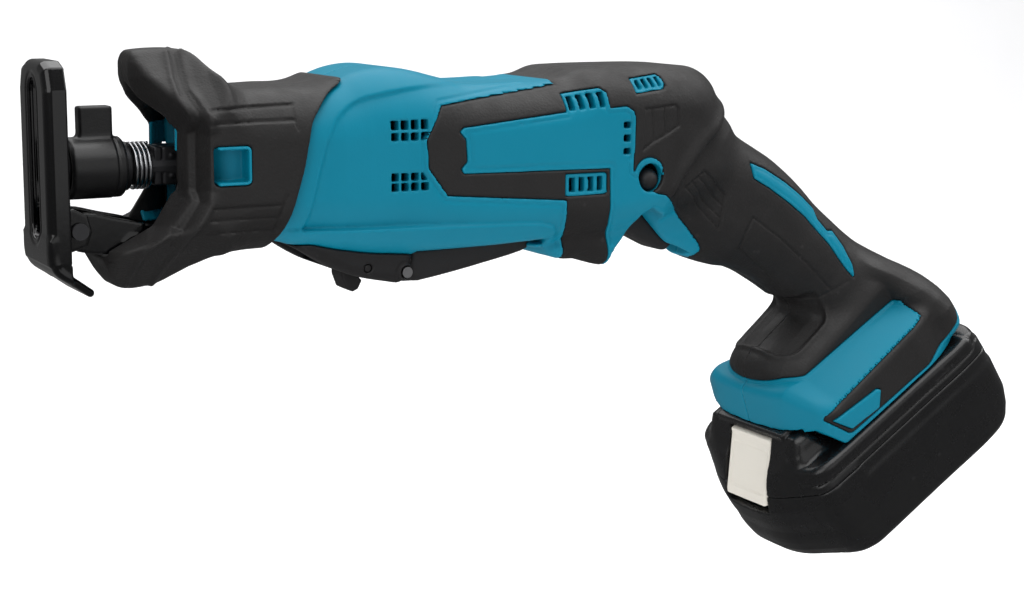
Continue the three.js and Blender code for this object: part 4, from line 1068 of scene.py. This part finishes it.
# ------------------------------------------------------------------ blade clamp
COLLAR_RADIUS = [
    (9.4, 8.6), (10.2, 9.3), (10.8, 9.5), (13.0, 9.5), (23.4, 9.5), (23.7, 9.15), (24.1, 9.15),
    (24.4, 9.4), (26.1, 9.3), (26.9, 8.6),
]
CORE_RADIUS = [(7.2, 5.9), (7.9, 6.4), (9.6, 6.5), (27, 7.4), (28.6, 7.6)]


def collar(x, y, z):
    """Ring round the blade holder with a tab on top."""
    radius = np.hypot(y, z)
    ring = round_and(radius - table(x, COLLAR_RADIUS), abs(x - 18.15) - 8.75, 0.35)
    tab = box3(x, y, z, (13.7, -2.7, 6.0), (24.1, 2.7, 18.8), 0.9)
    return cut(smooth_or(tab, ring, 1.6), radius - 7.9, 0.2)


def core(x, y, z):
    """Blade holder: a sleeve with an upright slot."""
    sleeve = round_and(np.hypot(y, z) - table(x, CORE_RADIUS), abs(x - 17.9) - 10.7, 0.4)
    return cut(sleeve, overlap(abs(y) - 0.85, abs(z) - 6.6, x - 20), 0.15)


def guide(x, y, z):
    """Square front of the plunger, with two rivets on each side."""
    block = box3(x, y, z, (35.9, -5.7, -6.0), (49, 5.7, 6.0), 0.7)
    shape = union(block, overlap(np.hypot(y, z) - 5.0, abs(x - 33) - 4.0))
    for rivet_z in (3.1, -3.1):
        across = np.hypot(x - 41.6, z - rivet_z)
        head = np.sqrt(across**2 + ((abs(y) - 5.3) * 1.4) ** 2) - 1.15
        shape = union(shape, head)
    return shape + 0.4 * bell(x - 38.6, 0.35)


# ------------------------------------------------------------------ shoe lock under the nose
COVER_SIDE = outline(smooth_curve([
    (73.4, -23.8), (75.6, -25.4), (80.8, -28.3), (86.4, -31.8), (93.3, -35.4), (99.4, -37.6),
    (108, -39.5), (114.0, -40.4), (116.5, -39.4), (117.7, -37.4), (117.9, -28.4), (104, -26.5),
    (92, -25), (82, -23), (76, -21.8),
], corners=(0, 10), steps=4), step=0.3, pad=8)
LEVER_SIDE = outline(smooth_curve([
    (118.5, -29.9), (145.4, -29.2), (163.6, -27.9), (165.4, -28.4), (165.8, -30.2),
    (163.8, -32.4), (146, -36.6), (125.5, -40.2), (121.4, -40.6), (118.8, -39.8),
], corners=(0,), steps=4), step=0.3, pad=8)
LEVER_FRONT = outline(
    [(112.6, -34.6), (118.4, -33.2), (122, -33.4), (122, -40.5), (116, -40.4), (112.8, -39.2)],
    step=0.3, pad=8,
)
CATCH_SIDE = outline([
    (98.9, -32.6), (103.7, -32.6), (103.9, -38.4), (106.2, -40.9), (104.8, -43.6),
    (102.9, -44.5), (100.5, -43.3), (98.9, -39),
], step=0.25, pad=6)
LEVER_PIN = (115, -36.6)
LEVER_PIN_RADIUS = 2.1
CATCH_PIN = (101.3, -34.4)
BODY_GAP = 0.3  # how far the parts may sink into the body's skin


def lower_cover(x, y, z):
    half_width = table(x, [(71, 12), (75, 15.6), (82, 18.4), (90, 19.8), (118, 20.2)])
    shape = ellipse_and(COVER_SIDE(x, z), abs(y) - half_width, 3.6, 4.5)
    shape = cut(shape, skin(x, y, z) - BODY_GAP, 0.5)
    # bays for the lever's front, the shoe arm, the pin and the catch
    shape = cut(shape, box3(x, y, z, (106.4, -15.6, -60), (130, 15.6, -20), 0.8), 0.4)
    shape = cut(shape, box3(x, y, z, (60, -9.4, -34), (125, 9.4, -20), 0.5))
    shape = cut(shape, disc(x, z, LEVER_PIN, LEVER_PIN_RADIUS), 0.3)
    shape = cut(shape, box3(x, y, z, (96.6, -5, -60), (107, 5, -30), 0.8), 0.4)
    shape = cut(shape, disc(x, z, CATCH_PIN, 1.5), 0.2)
    # groove round the lever pin
    return shape + 0.35 * bell(disc(x, z, LEVER_PIN, 3.4), 0.5) * fade(14, 17, abs(y))


def lever(x, y, z):
    half_width = table(x, [(118, 15.6), (150, 15.2), (173, 14.4)])
    shape = ellipse_and(LEVER_SIDE(x, z), abs(y) - half_width, 1.6, 2.4)
    shape = smooth_or(shape, round_and(LEVER_FRONT(x, z), abs(y) - 15, 0.8), 0.6)
    shape = cut(shape, skin(x, y, z) - BODY_GAP, 0.4)
    return cut(shape, disc(x, z, LEVER_PIN, LEVER_PIN_RADIUS), 0.2)


def catch(x, y, z):
    tab = round_and(CATCH_SIDE(x, z), abs(y) - 4.6, 0.8)
    pin = round_and(disc(x, z, CATCH_PIN, 1.2), abs(y) - 19.6, 0.25)
    return smooth_or(tab, pin, 0.3)


# ------------------------------------------------------------------ trigger and lock-off
TRIGGER_SIDE = outline(smooth_curve([
    (200.6, -32.0), (200.7, -29.6), (202.8, -26.4), (206.3, -22.6), (209.6, -21.5),
    (221, -28.8), (227.2, -34.6), (226.6, -36.6), (224.4, -38.5), (221.4, -38.2),
    (216.4, -35.9), (210.4, -32.9), (205.6, -31.2),
], steps=4), step=0.25, pad=8)


def trigger(x, y, z):
    return ellipse_and(TRIGGER_SIDE(x, z), abs(y) - 7.3, 3.0, 3.4)


def lockoff(x, y, z):
    """Cross rod with a domed cap at each end."""
    radius = np.hypot(x - 202.5, z + 10.2)
    rod = round_and(radius - 3.5, box2(y, radius, (-26.4, -20), (27.2, 20)), 0.5)
    left = np.sqrt(radius**2 + ((y + 25.4) * 0.92) ** 2) - 3.9
    right = np.sqrt(radius**2 + ((y - 26.4) * 1.2) ** 2) - 3.7
    return smooth_or(smooth_or(rod, left, 0.8), right, 0.8)


# ------------------------------------------------------------------ materials
def add_node(tree, kind, inputs=(), **settings):
    """New shader node; inputs that are sockets get linked, the others set."""
    node = tree.nodes.new("ShaderNode" + kind)
    for key, value in settings.items():
        setattr(node, key, value)
    for key, value in dict(inputs).items():
        if isinstance(value, bpy.types.NodeSocket):
            tree.links.new(value, node.inputs[key])
        else:
            node.inputs[key].default_value = value
    return node


def linear(rgb):
    shares = [c / 255.0 for c in rgb]
    return [c / 12.92 if c <= 0.04045 else ((c + 0.055) / 1.055) ** 2.4 for c in shares]


def material(
    name, rgb, rough, metal=0.0, specular=0.5, cloud=0.10, cloud_scale=55, grain=2600,
    bump=0.25, bump_depth=0.00006, rough_swing=0.08, edge=0.12, coat=0.0, stretch=None, mottle=0.0,
):
    """Surface with a fine moulded grain.

    cloud: slow change in lightness; rough_swing: slow change in roughness; edge: strength of
    the painted highlight on sharp edges; grain, bump, bump_depth: scale, strength and metres
    of the grain; stretch: grain scale per axis; mottle: strength of a coarser bump.
    """
    mat = bpy.data.materials.new(name)
    mat.use_nodes = True
    tree = mat.node_tree
    tree.nodes.clear()
    color = linear(rgb)
    place = add_node(tree, "TexCoord").outputs["Object"]
    grain_place = place
    if stretch:
        grain_place = add_node(tree, "Mapping", {0: place, "Scale": stretch}).outputs[0]
    slow = add_node(tree, "TexNoise", {
        "Vector": place, "Scale": cloud_scale, "Detail": 5, "Roughness": 0.6,
    }).outputs["Fac"]
    fine = add_node(tree, "TexNoise", {"Vector": grain_place, "Scale": grain, "Detail": 3})
    cells = add_node(tree, "TexVoronoi", {"Vector": grain_place, "Scale": grain * 0.55})
    pointed = add_node(tree, "MapRange", {
        "Value": add_node(tree, "NewGeometry").outputs["Pointiness"],
        "From Min": 0.52, "From Max": 0.60,
    })
    # colour: a slow cloud, then a painted highlight that lightens sharp edges
    clouded = add_node(tree, "Mix", {
        "A": tuple(c * (1 - cloud) for c in color) + (1,),
        "B": tuple(min(1, c * (1 + cloud)) for c in color) + (1,),
        "Factor": slow,
    }, data_type="RGBA")
    # painted highlight: colour lightened where the pointiness marks a sharp edge
    edge_highlight_share = add_node(tree, "Math", {0: pointed.outputs[0], 1: 0.8}, operation="MULTIPLY")
    edge_highlighted = add_node(tree, "Mix", {
        "A": clouded.outputs["Result"],
        "B": tuple(min(1, c * (1 + 1.2 * edge) + 0.02 * edge) for c in color) + (1,),
        "Factor": edge_highlight_share.outputs[0],
    }, data_type="RGBA")
    roughness = add_node(tree, "MapRange", {
        "Value": slow, "From Min": 0.35, "From Max": 0.65,
        "To Min": max(0.03, rough - rough_swing), "To Max": min(1, rough + rough_swing),
    })
    height = add_node(
        tree, "Math", {0: fine.outputs["Fac"], 1: cells.outputs["Distance"]}, operation="ADD"
    )
    normal = add_node(tree, "Bump", {
        "Height": height.outputs[0], "Strength": bump, "Distance": bump_depth,
    }).outputs[0]
    if mottle:
        coarse = add_node(tree, "TexNoise", {"Vector": place, "Scale": 420, "Detail": 4})
        normal = add_node(tree, "Bump", {
            "Height": coarse.outputs["Fac"], "Strength": mottle, "Distance": 0.00025,
            "Normal": normal,
        }).outputs[0]
    surface = add_node(tree, "BsdfPrincipled", {
        "Base Color": edge_highlighted.outputs["Result"], "Roughness": roughness.outputs[0],
        "Normal": normal, "Metallic": metal, "Specular IOR Level": specular,
        "Coat Weight": coat, "Coat Roughness": 0.12,
    })
    add_node(tree, "OutputMaterial", {0: surface.outputs[0]})
    return mat


RUBBER = dict(
    cloud_scale=85, grain=2000, bump=0.5, bump_depth=0.00012, edge=0.25, rough_swing=0.10,
    mottle=0.10,
)
# edge in these calls sets the strength of the painted highlight on sharp edges
MATERIALS = {
    "teal": material(
        "moulded_teal", (0, 116, 141), rough=0.44, specular=0.16, cloud=0.05, cloud_scale=38,
        grain=2400, bump=0.22, edge=0.18, rough_swing=0.05),
    "teal_in": material(
        "moulded_teal_inside", (0, 118, 148), rough=0.5, specular=0.35, cloud=0.06, grain=2400),
    "rubber": material("soft_overmold", (33, 32, 32), rough=0.54, specular=0.27, **RUBBER),
    "boot": material("boot_rubber", (31, 30, 30), rough=0.50, specular=0.28, **RUBBER),
    "black": material(
        "moulded_black", (31, 30, 31), rough=0.52, specular=0.35, cloud=0.08, bump=0.4,
        edge=0.2, rough_swing=0.07),
    "battery": material(
        "battery_plastic", (17, 17, 18), rough=0.28, cloud=0.08, grain=3200, bump=0.16,
        edge=0.3, rough_swing=0.05),
    "lever": material(
        "lever_plastic", (36, 35, 36), rough=0.5, specular=0.36, cloud=0.08, bump=0.35, edge=0.2),
    "cream": material(
        "cream_plastic", (224, 219, 208), rough=0.42, specular=0.4, cloud=0.03, bump=0.15,
        edge=0.05),
    "gloss": material(
        "gloss_black_steel", (3, 3, 4), rough=0.13, specular=0.34, grain=900, bump=0.10,
        bump_depth=0.00005, edge=0.6, coat=0.25, rough_swing=0.05),
    "collar": material(
        "collar_plastic", (16, 16, 17), rough=0.40, specular=0.42, cloud=0.08, bump=0.35,
        edge=0.25),
    "dark_steel": material(
        "blackened_steel", (40, 40, 42), rough=0.38, metal=0.75, cloud=0.2, grain=1800, edge=0.6),
    "steel": material(
        "bright_steel", (196, 197, 199), rough=0.22, metal=1.0, cloud=0.08, grain=900, bump=0.2,
        edge=0.1, stretch=(1, 9, 1)),
    "spring": material(
        "spring_wire", (170, 171, 174), rough=0.2, metal=1.0, cloud=0.15, grain=1500, bump=0.12,
        edge=0.1),
    "pin": material(
        "pin_steel", (150, 150, 152), rough=0.3, metal=1.0, grain=1500, bump=0.2, edge=0.1),
    "zinc": material(
        "zinc_screw", (60, 60, 62), rough=0.35, metal=0.9, cloud=0.15, grain=1500, bump=0.2,
        edge=0.3),
    "alu": material(
        "cast_aluminium", (160, 163, 166), rough=0.5, metal=0.9, cloud=0.12, cloud_scale=140,
        grain=900, bump=0.6, bump_depth=0.0002, edge=0.2),
    "can": material(
        "motor_can_steel", (205, 206, 208), rough=0.26, metal=1.0, cloud=0.06, grain=700,
        bump=0.15, stretch=(12, 1, 1), edge=0.1),
    "bronze": material(
        "sintered_bronze", (150, 110, 60), rough=0.5, metal=0.9, cloud=0.15, grain=2500,
        bump=0.6, edge=0.2),
    "copper": material(
        "copper_windings", (178, 98, 58), rough=0.35, metal=0.9, cloud=0.2, grain=1600, bump=0.6,
        bump_depth=0.0002, stretch=(1, 12, 12), edge=0.3),
    "carbon": material(
        "carbon_brush", (30, 30, 31), rough=0.8, cloud=0.2, grain=2500, bump=0.6),
    "green": material(
        "board_green", (24, 88, 54), rough=0.45, cloud=0.2, cloud_scale=300, grain=1500,
        bump=0.2),
    "cell": material(
        "cell_wrap", (52, 110, 158), rough=0.4, cloud=0.06, grain=1800, bump=0.1),
    "seal": material(
        "seal_rubber", (26, 26, 26), rough=0.7, cloud=0.15, grain=2200, bump=0.5),
}

# CAD pieces that keep their own mesh or are only coloured
CAD_MATERIALS = {
    "alu": ["gear_case", "gear_case_cover"],
    "bronze": ["plunger_bush"],
    "seal": ["plunger_seal"],
    "steel": [
        "front_bearing", "rear_bearing", "drive_gear", "crank_pin", "gear_axle", "armature_shaft",
    ],
    "pin": ["lever_pin"],
    "dark_steel": ["shoe_pivot_pin", "plunger"],
    "copper": ["armature_core", "commutator"],
    "can": ["motor_can"],
    "black": ["cooling_fan", "brush_plate", "switch_module", "control_module", "terminal_block"],
    "carbon": ["brush_upper", "brush_lower", "magnet_upper", "magnet_lower"],
    "green": ["terminal_board"],
    "cell": ["cell_%d" % i for i in range(1, 11)],
    "zinc": ["housing_screw_%d" % i for i in range(1, 7)],
}
for key, nodes in CAD_MATERIALS.items():
    for node in nodes:
        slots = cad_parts[node].data.materials
        slots.clear()
        slots.append(MATERIALS[key])


# ------------------------------------------------------------------ meshes
def to_metres(vertices):
    return (np.asarray(vertices, float) + [SHOE_X, 0, 0]) * MM


def link_object(name, mesh, mat):
    obj = bpy.data.objects.new(name, mesh)
    COLL.objects.link(obj)
    mesh.materials.append(mat)
    return obj


def net_object(name, vertices, quads, mat):
    mesh = bpy.data.meshes.new(name)
    quads = np.asarray(quads, np.int32)
    mesh.vertices.add(len(vertices))
    mesh.vertices.foreach_set("co", to_metres(vertices).astype(f32).ravel())
    mesh.loops.add(quads.size)
    mesh.loops.foreach_set("vertex_index", quads.ravel())
    mesh.polygons.add(len(quads))
    mesh.polygons.foreach_set("loop_start", np.arange(0, quads.size, 4, dtype=np.int32))
    mesh.polygons.foreach_set("loop_total", np.full(len(quads), 4, np.int32))
    mesh.polygons.foreach_set("use_smooth", np.full(len(quads), True))
    mesh.update(calc_edges=True)
    mesh.validate()
    return link_object(name, mesh, mat)


def poly_object(name, vertices, faces, mat):
    mesh = bpy.data.meshes.new(name)
    mesh.from_pydata(to_metres(vertices).tolist(), [], faces)
    mesh.polygons.foreach_set("use_smooth", np.full(len(mesh.polygons), True))
    mesh.update()
    return link_object(name, mesh, mat)


def mount(obj, body, replaced):
    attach(obj, body)
    if replaced:
        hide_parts(replaced)


def build_halves(name, field, low, high, cell, mat, node):
    """Meshes the right half between (x, z) limits and mirrors it for the left."""
    vertices, quads = surface_net(
        field, (low[0], 0, low[1]), (high[0], 40, high[1]), cell * CELL_SCALE
    )
    for hand, mirror, faces in (("_right", 1, quads), ("_left", -1, quads[:, ::-1])):
        obj = net_object(name + hand, vertices * [1, mirror, 1], faces, MATERIALS[mat])
        mount(obj, "tool", node + hand)


build_halves("hard_shell", housing, (24, -116), (348, 34), 0.64, "teal", "housing")
build_halves(
    "soft_grip", overmold, (114, -112), (348, 34), 0.5, "rubber", "grip_overmold"
)

# name, field, low, high, cell size, material, body it rides on, CAD piece replaced, slot
PIECES = [
    ("front_boot_rubber", boot, (14, -33, -44), (102, 33, 42), 0.6,
     "boot", "tool", "front_boot", "boot_rubber"),
    ("battery_case_top", battery_upper, (262, -40, -146), (356, 40, -60), 0.6,
     "battery", "battery", "battery_case_upper", "battery_plastic"),
    ("battery_case_base", battery_lower, (262, -40, -166), (372, 40, -72), 0.6,
     "battery", "battery", "battery_case_lower", "battery_plastic"),
    ("battery_button", button, (258, -14, -142), (282, 14, -105), 0.4,
     "cream", "battery_button", "battery_release_button", "cream_plastic"),
    ("shoe_plate", shoe, (-0.5, -15.5, -42), (16, 15.5, 34.5), 0.36,
     "gloss", "shoe", "shoe", "gloss_black_steel"),
    ("shoe_arm_fork", arm, (5, -11.5, -27), (106, 11.5, -11), 0.42,
     "gloss", "shoe_arm", "shoe_arm", "gloss_black_steel"),
    ("clamp_ring", collar, (9, -10, -10), (27.4, 10, 19.4), 0.32,
     "collar", "clamp_collar", "clamp_collar", "black_plastic"),
    ("blade_holder", core, (6.6, -8, -8), (29, 8, 8), 0.34,
     "dark_steel", "plunger", "clamp_core", "dark_steel"),
    ("plunger_front", guide, (28, -7, -7), (61, 7, 7), 0.34,
     "dark_steel", "plunger", None, "dark_steel"),
    ("lock_cover", lower_cover, (70, -21, -42), (120, 21, -20), 0.45,
     "black", "tool", "lower_cover", "black_plastic"),
    ("shoe_lever", lever, (111, -17, -43), (175, 17, -27), 0.45,
     "lever", "shoe_lock_lever", "shoe_lock_lever", "black_plastic"),
    ("catch_tab", catch, (97, -21, -46), (108, 21, -31), 0.35,
     "black", "shoe_catch", "shoe_catch", "black_plastic"),
    ("trigger_lever", trigger, (198, -9, -41), (230, 9, -18), 0.38,
     "lever", "trigger", "trigger", "trigger_plastic"),
    ("lock_off_pin", lockoff, (197, -32, -15), (209, 31, -4), 0.36,
     "black", "lock_off_button", "lock_off_button", "black_plastic"),
]
for name, field, low, high, cell, mat, body, replaced, slot in PIECES:
    vertices, quads = surface_net(field, low, high, cell * CELL_SCALE)
    mount(net_object(name, vertices, quads, MATERIALS[mat]), body, replaced)

# ------------------------------------------------------------------ battery cells
CELLS_PER_ROW = 5
CELL_START = (16.6, 3.6)  # (along, depth) of the first cell
CELL_PITCH = (17.0, 17.2)
CELL_SIDES = 40
# (radius, y) from the flat end to the raised contact; the rings on the axis stay loose
CELL_PROFILE = [
    (0, -31.0), (7.9, -31.0), (8.4, -30.4), (8.4, 28.4), (8.1, 28.9), (8.1, 29.5), (8.4, 30.0),
    (8.1, 30.7), (6.2, 30.7), (6.0, 30.3), (3.0, 30.3), (2.8, 31.4), (0, 31.4),
]


def battery_cell(number):
    """Wrapped can lying across the tool; every second one is turned end for end."""
    row, place = divmod(number, CELLS_PER_ROW)
    along = CELL_START[0] + CELL_PITCH[0] * place
    depth = CELL_START[1] + CELL_PITCH[1] * row
    (centre_x, centre_z), = rail_points([(along, depth)])
    turned = place % 2
    angles = [2 * math.pi * i / CELL_SIDES for i in range(CELL_SIDES)]
    vertices = [
        (centre_x + radius * math.cos(a), y if turned else -y, centre_z + radius * math.sin(a))
        for radius, y in CELL_PROFILE
        for a in angles
    ]
    last = len(CELL_PROFILE) - 2
    rings = [list(range(j * CELL_SIDES, (j + 1) * CELL_SIDES)) for j in range(last + 1)]
    faces = []
    for j in range(1, last):
        for i in range(CELL_SIDES):
            k = (i + 1) % CELL_SIDES
            faces.append([rings[j][i], rings[j][k], rings[j + 1][k], rings[j + 1][i]])
    faces += [rings[1][::-1], rings[last]]
    if turned:
        faces = [face[::-1] for face in faces]
    obj = poly_object("cell_can_%d" % (number + 1), vertices, faces, MATERIALS["cell"])
    obj.data.validate()
    mount(obj, "battery", "cell_%d" % (number + 1))


for number in range(2 * CELLS_PER_ROW):
    battery_cell(number)

# ------------------------------------------------------------------ clamp spring
SPRING_START, SPRING_END = 29.4, 35.4
SPRING_TURNS = 4.25
SPRING_RADIUS = 6.9
WIRE_RADIUS = 0.55
STEPS_PER_TURN = 28
WIRE_SIDES = 10


def clamp_spring():
    """Wire coiled round the x axis, with closed ends."""
    steps = int(SPRING_TURNS * STEPS_PER_TURN)
    length = SPRING_END - SPRING_START
    turn = 2 * math.pi * SPRING_TURNS
    vertices = []
    for i in range(steps + 1):
        angle = turn * i / steps
        sin, cos = math.sin(angle), math.cos(angle)
        centre = np.array([
            SPRING_START + length * (i / steps), SPRING_RADIUS * cos, SPRING_RADIUS * sin,
        ])
        tangent = np.array([
            length / steps, -SPRING_RADIUS * sin * turn / steps, SPRING_RADIUS * cos * turn / steps,
        ])
        tangent /= np.linalg.norm(tangent)
        outward = np.array([0, cos, sin])
        across = np.cross(tangent, outward)
        for k in range(WIRE_SIDES):
            b = 2 * math.pi * k / WIRE_SIDES
            vertices.append(centre + WIRE_RADIUS * (outward * math.cos(b) + across * math.sin(b)))
    faces = []
    for i in range(steps):
        for k in range(WIRE_SIDES):
            this, after = i * WIRE_SIDES + k, i * WIRE_SIDES + (k + 1) % WIRE_SIDES
            faces.append([this, after, after + WIRE_SIDES, this + WIRE_SIDES])
    vertices = np.array(vertices)
    first, last = len(vertices), steps * WIRE_SIDES
    ends = [vertices[:WIRE_SIDES].mean(0), vertices[last:].mean(0)]
    vertices = np.vstack([vertices, *ends])
    faces += [[first, (k + 1) % WIRE_SIDES, k] for k in range(WIRE_SIDES)]
    faces += [[first + 1, last + k, last + (k + 1) % WIRE_SIDES] for k in range(WIRE_SIDES)]
    obj = poly_object("clamp_return_spring", vertices, faces, MATERIALS["spring"])
    mount(obj, "plunger", "clamp_spring")


clamp_spring()

# ------------------------------------------------------------------ floor, in metres
VIEW_TURN = math.radians(-29.09)  # the camera's turn about z
WHITE = (1, 1, 1, 1)
FLOOR_LEVEL = min(
    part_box("battery_case_lower")[0].z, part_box("battery_case_upper")[0].z
) - 0.075 - 0.004
FLOOR_FRONT, FLOOR_BACK = -3.0, 1.6
SWEEP_RADIUS = 1.2
SWEEP_STEPS = 12
SWEEP_TOP = 4.0
FLOOR_HALF_WIDTH = 5.0


def studio_paper():
    """Paper that is pale in view and dim in reflections."""
    mat = bpy.data.materials.new("studio_paper")
    mat.use_nodes = True
    tree = mat.node_tree
    paper = tree.nodes["Principled BSDF"]
    paper.inputs["Base Color"].default_value = (0.92, 0.92, 0.93, 1)
    paper.inputs["Roughness"].default_value = 0.9
    paper.inputs["Specular IOR Level"].default_value = 0.1
    glow = add_node(tree, "Emission", {"Color": WHITE, "Strength": 0.16})
    rays = add_node(tree, "LightPath")
    mix = add_node(tree, "MixShader", {
        0: rays.outputs["Is Glossy Ray"], 1: paper.outputs[0], 2: glow.outputs[0],
    })
    tree.links.new(mix.outputs[0], tree.nodes["Material Output"].inputs[0])
    return mat


def studio_floor():
    """Floor that sweeps up behind the tool, square to the camera."""
    profile = [(FLOOR_FRONT, 0.0), (FLOOR_BACK, 0.0)]  # (distance back, height)
    for i in range(1, SWEEP_STEPS + 1):
        angle = math.radians(90 * i / SWEEP_STEPS)
        profile.append((
            FLOOR_BACK + SWEEP_RADIUS * math.sin(angle),
            SWEEP_RADIUS - SWEEP_RADIUS * math.cos(angle),
        ))
    profile.append((FLOOR_BACK + SWEEP_RADIUS, SWEEP_TOP))
    cos, sin = math.cos(VIEW_TURN), math.sin(VIEW_TURN)
    vertices = [
        (0.17 + cos * across - sin * back, sin * across + cos * back, FLOOR_LEVEL + height)
        for across in (-FLOOR_HALF_WIDTH, FLOOR_HALF_WIDTH)
        for back, height in profile
    ]
    count = len(profile)
    faces = [[i, i + 1, count + i + 1, count + i] for i in range(count - 1)]
    poly_object("studio_floor", np.array(vertices) / MM, faces, studio_paper())


studio_floor()

# ------------------------------------------------------------------ lights
TOOL_MIDDLE = (0.18, 0, -0.03)
# name, place, target, edge of the square, watts
LIGHTS = [
    ("key_top", (0.10, -0.35, 1.25), TOOL_MIDDLE, 1.5, 17),
    ("fill_left", (-1.0, -0.9, 0.55), TOOL_MIDDLE, 1.0, 6),
    ("rim_right", (1.1, -0.25, 0.75), TOOL_MIDDLE, 0.8, 6),
    ("front_soft", (0.35, -1.5, 0.25), TOOL_MIDDLE, 1.2, 3),
    ("back_wash", (0.4, 1.2, 1.4), (0.5, 1.5, -0.1), 2.5, 40),
]
for name, place, target, size, watts in LIGHTS:
    light = bpy.data.lights.new(name, "AREA")
    light.shape = "RECTANGLE"
    light.size = light.size_y = size
    light.energy = watts
    lamp = bpy.data.objects.new(name, light)
    COLL.objects.link(lamp)
    shift = Vector((SHOE_X * MM, 0, 0))
    place, target = Vector(place) + shift, Vector(target) + shift
    lamp.location = place
    lamp.rotation_euler = (target - place).to_track_quat("-Z", "Y").to_euler()

# the world is white in view but lights the tool softly
world = bpy.data.worlds.new("studio")
bpy.context.scene.world = world
world.use_nodes = True
tree = world.node_tree
tree.nodes.clear()
lighting = add_node(tree, "Background", {"Color": WHITE, "Strength": 0.22})
backdrop = add_node(tree, "Background", {"Color": WHITE, "Strength": 1.0})
rays = add_node(tree, "LightPath")
mix = add_node(tree, "MixShader", {
    0: rays.outputs["Is Camera Ray"], 1: lighting.outputs[0], 2: backdrop.outputs[0],
})
add_node(tree, "OutputWorld", {0: mix.outputs[0]})

# ------------------------------------------------------------------ camera
CAMERA_RISE = math.radians(10.09)
CAMERA_ROLL = math.radians(0.36)
CAMERA_PLACE = (-0.1613 + SHOE_X * MM, -0.5864, 0.0652)

camera_data = bpy.data.cameras.new("camera")
camera_data.lens = 69.328125
camera_data.sensor_width = 36.0
camera_data.clip_start = 0.01
camera_data.clip_end = 50
camera = bpy.data.objects.new("camera", camera_data)
COLL.objects.link(camera)
level = np.array([math.cos(VIEW_TURN), math.sin(VIEW_TURN), 0.0])
backward = np.array([
    math.sin(VIEW_TURN) * math.cos(CAMERA_RISE),
    -math.cos(VIEW_TURN) * math.cos(CAMERA_RISE),
    math.sin(CAMERA_RISE),
])
upright = np.cross(backward, level)
right = math.cos(CAMERA_ROLL) * level + math.sin(CAMERA_ROLL) * upright
up = -math.sin(CAMERA_ROLL) * level + math.cos(CAMERA_ROLL) * upright
rows = [(right[i], up[i], backward[i], CAMERA_PLACE[i]) for i in range(3)]
camera.matrix_world = Matrix((*rows, (0, 0, 0, 1)))
scene = bpy.context.scene
scene.camera = camera
scene.view_settings.view_transform = "Standard"
scene.view_settings.look = "None"
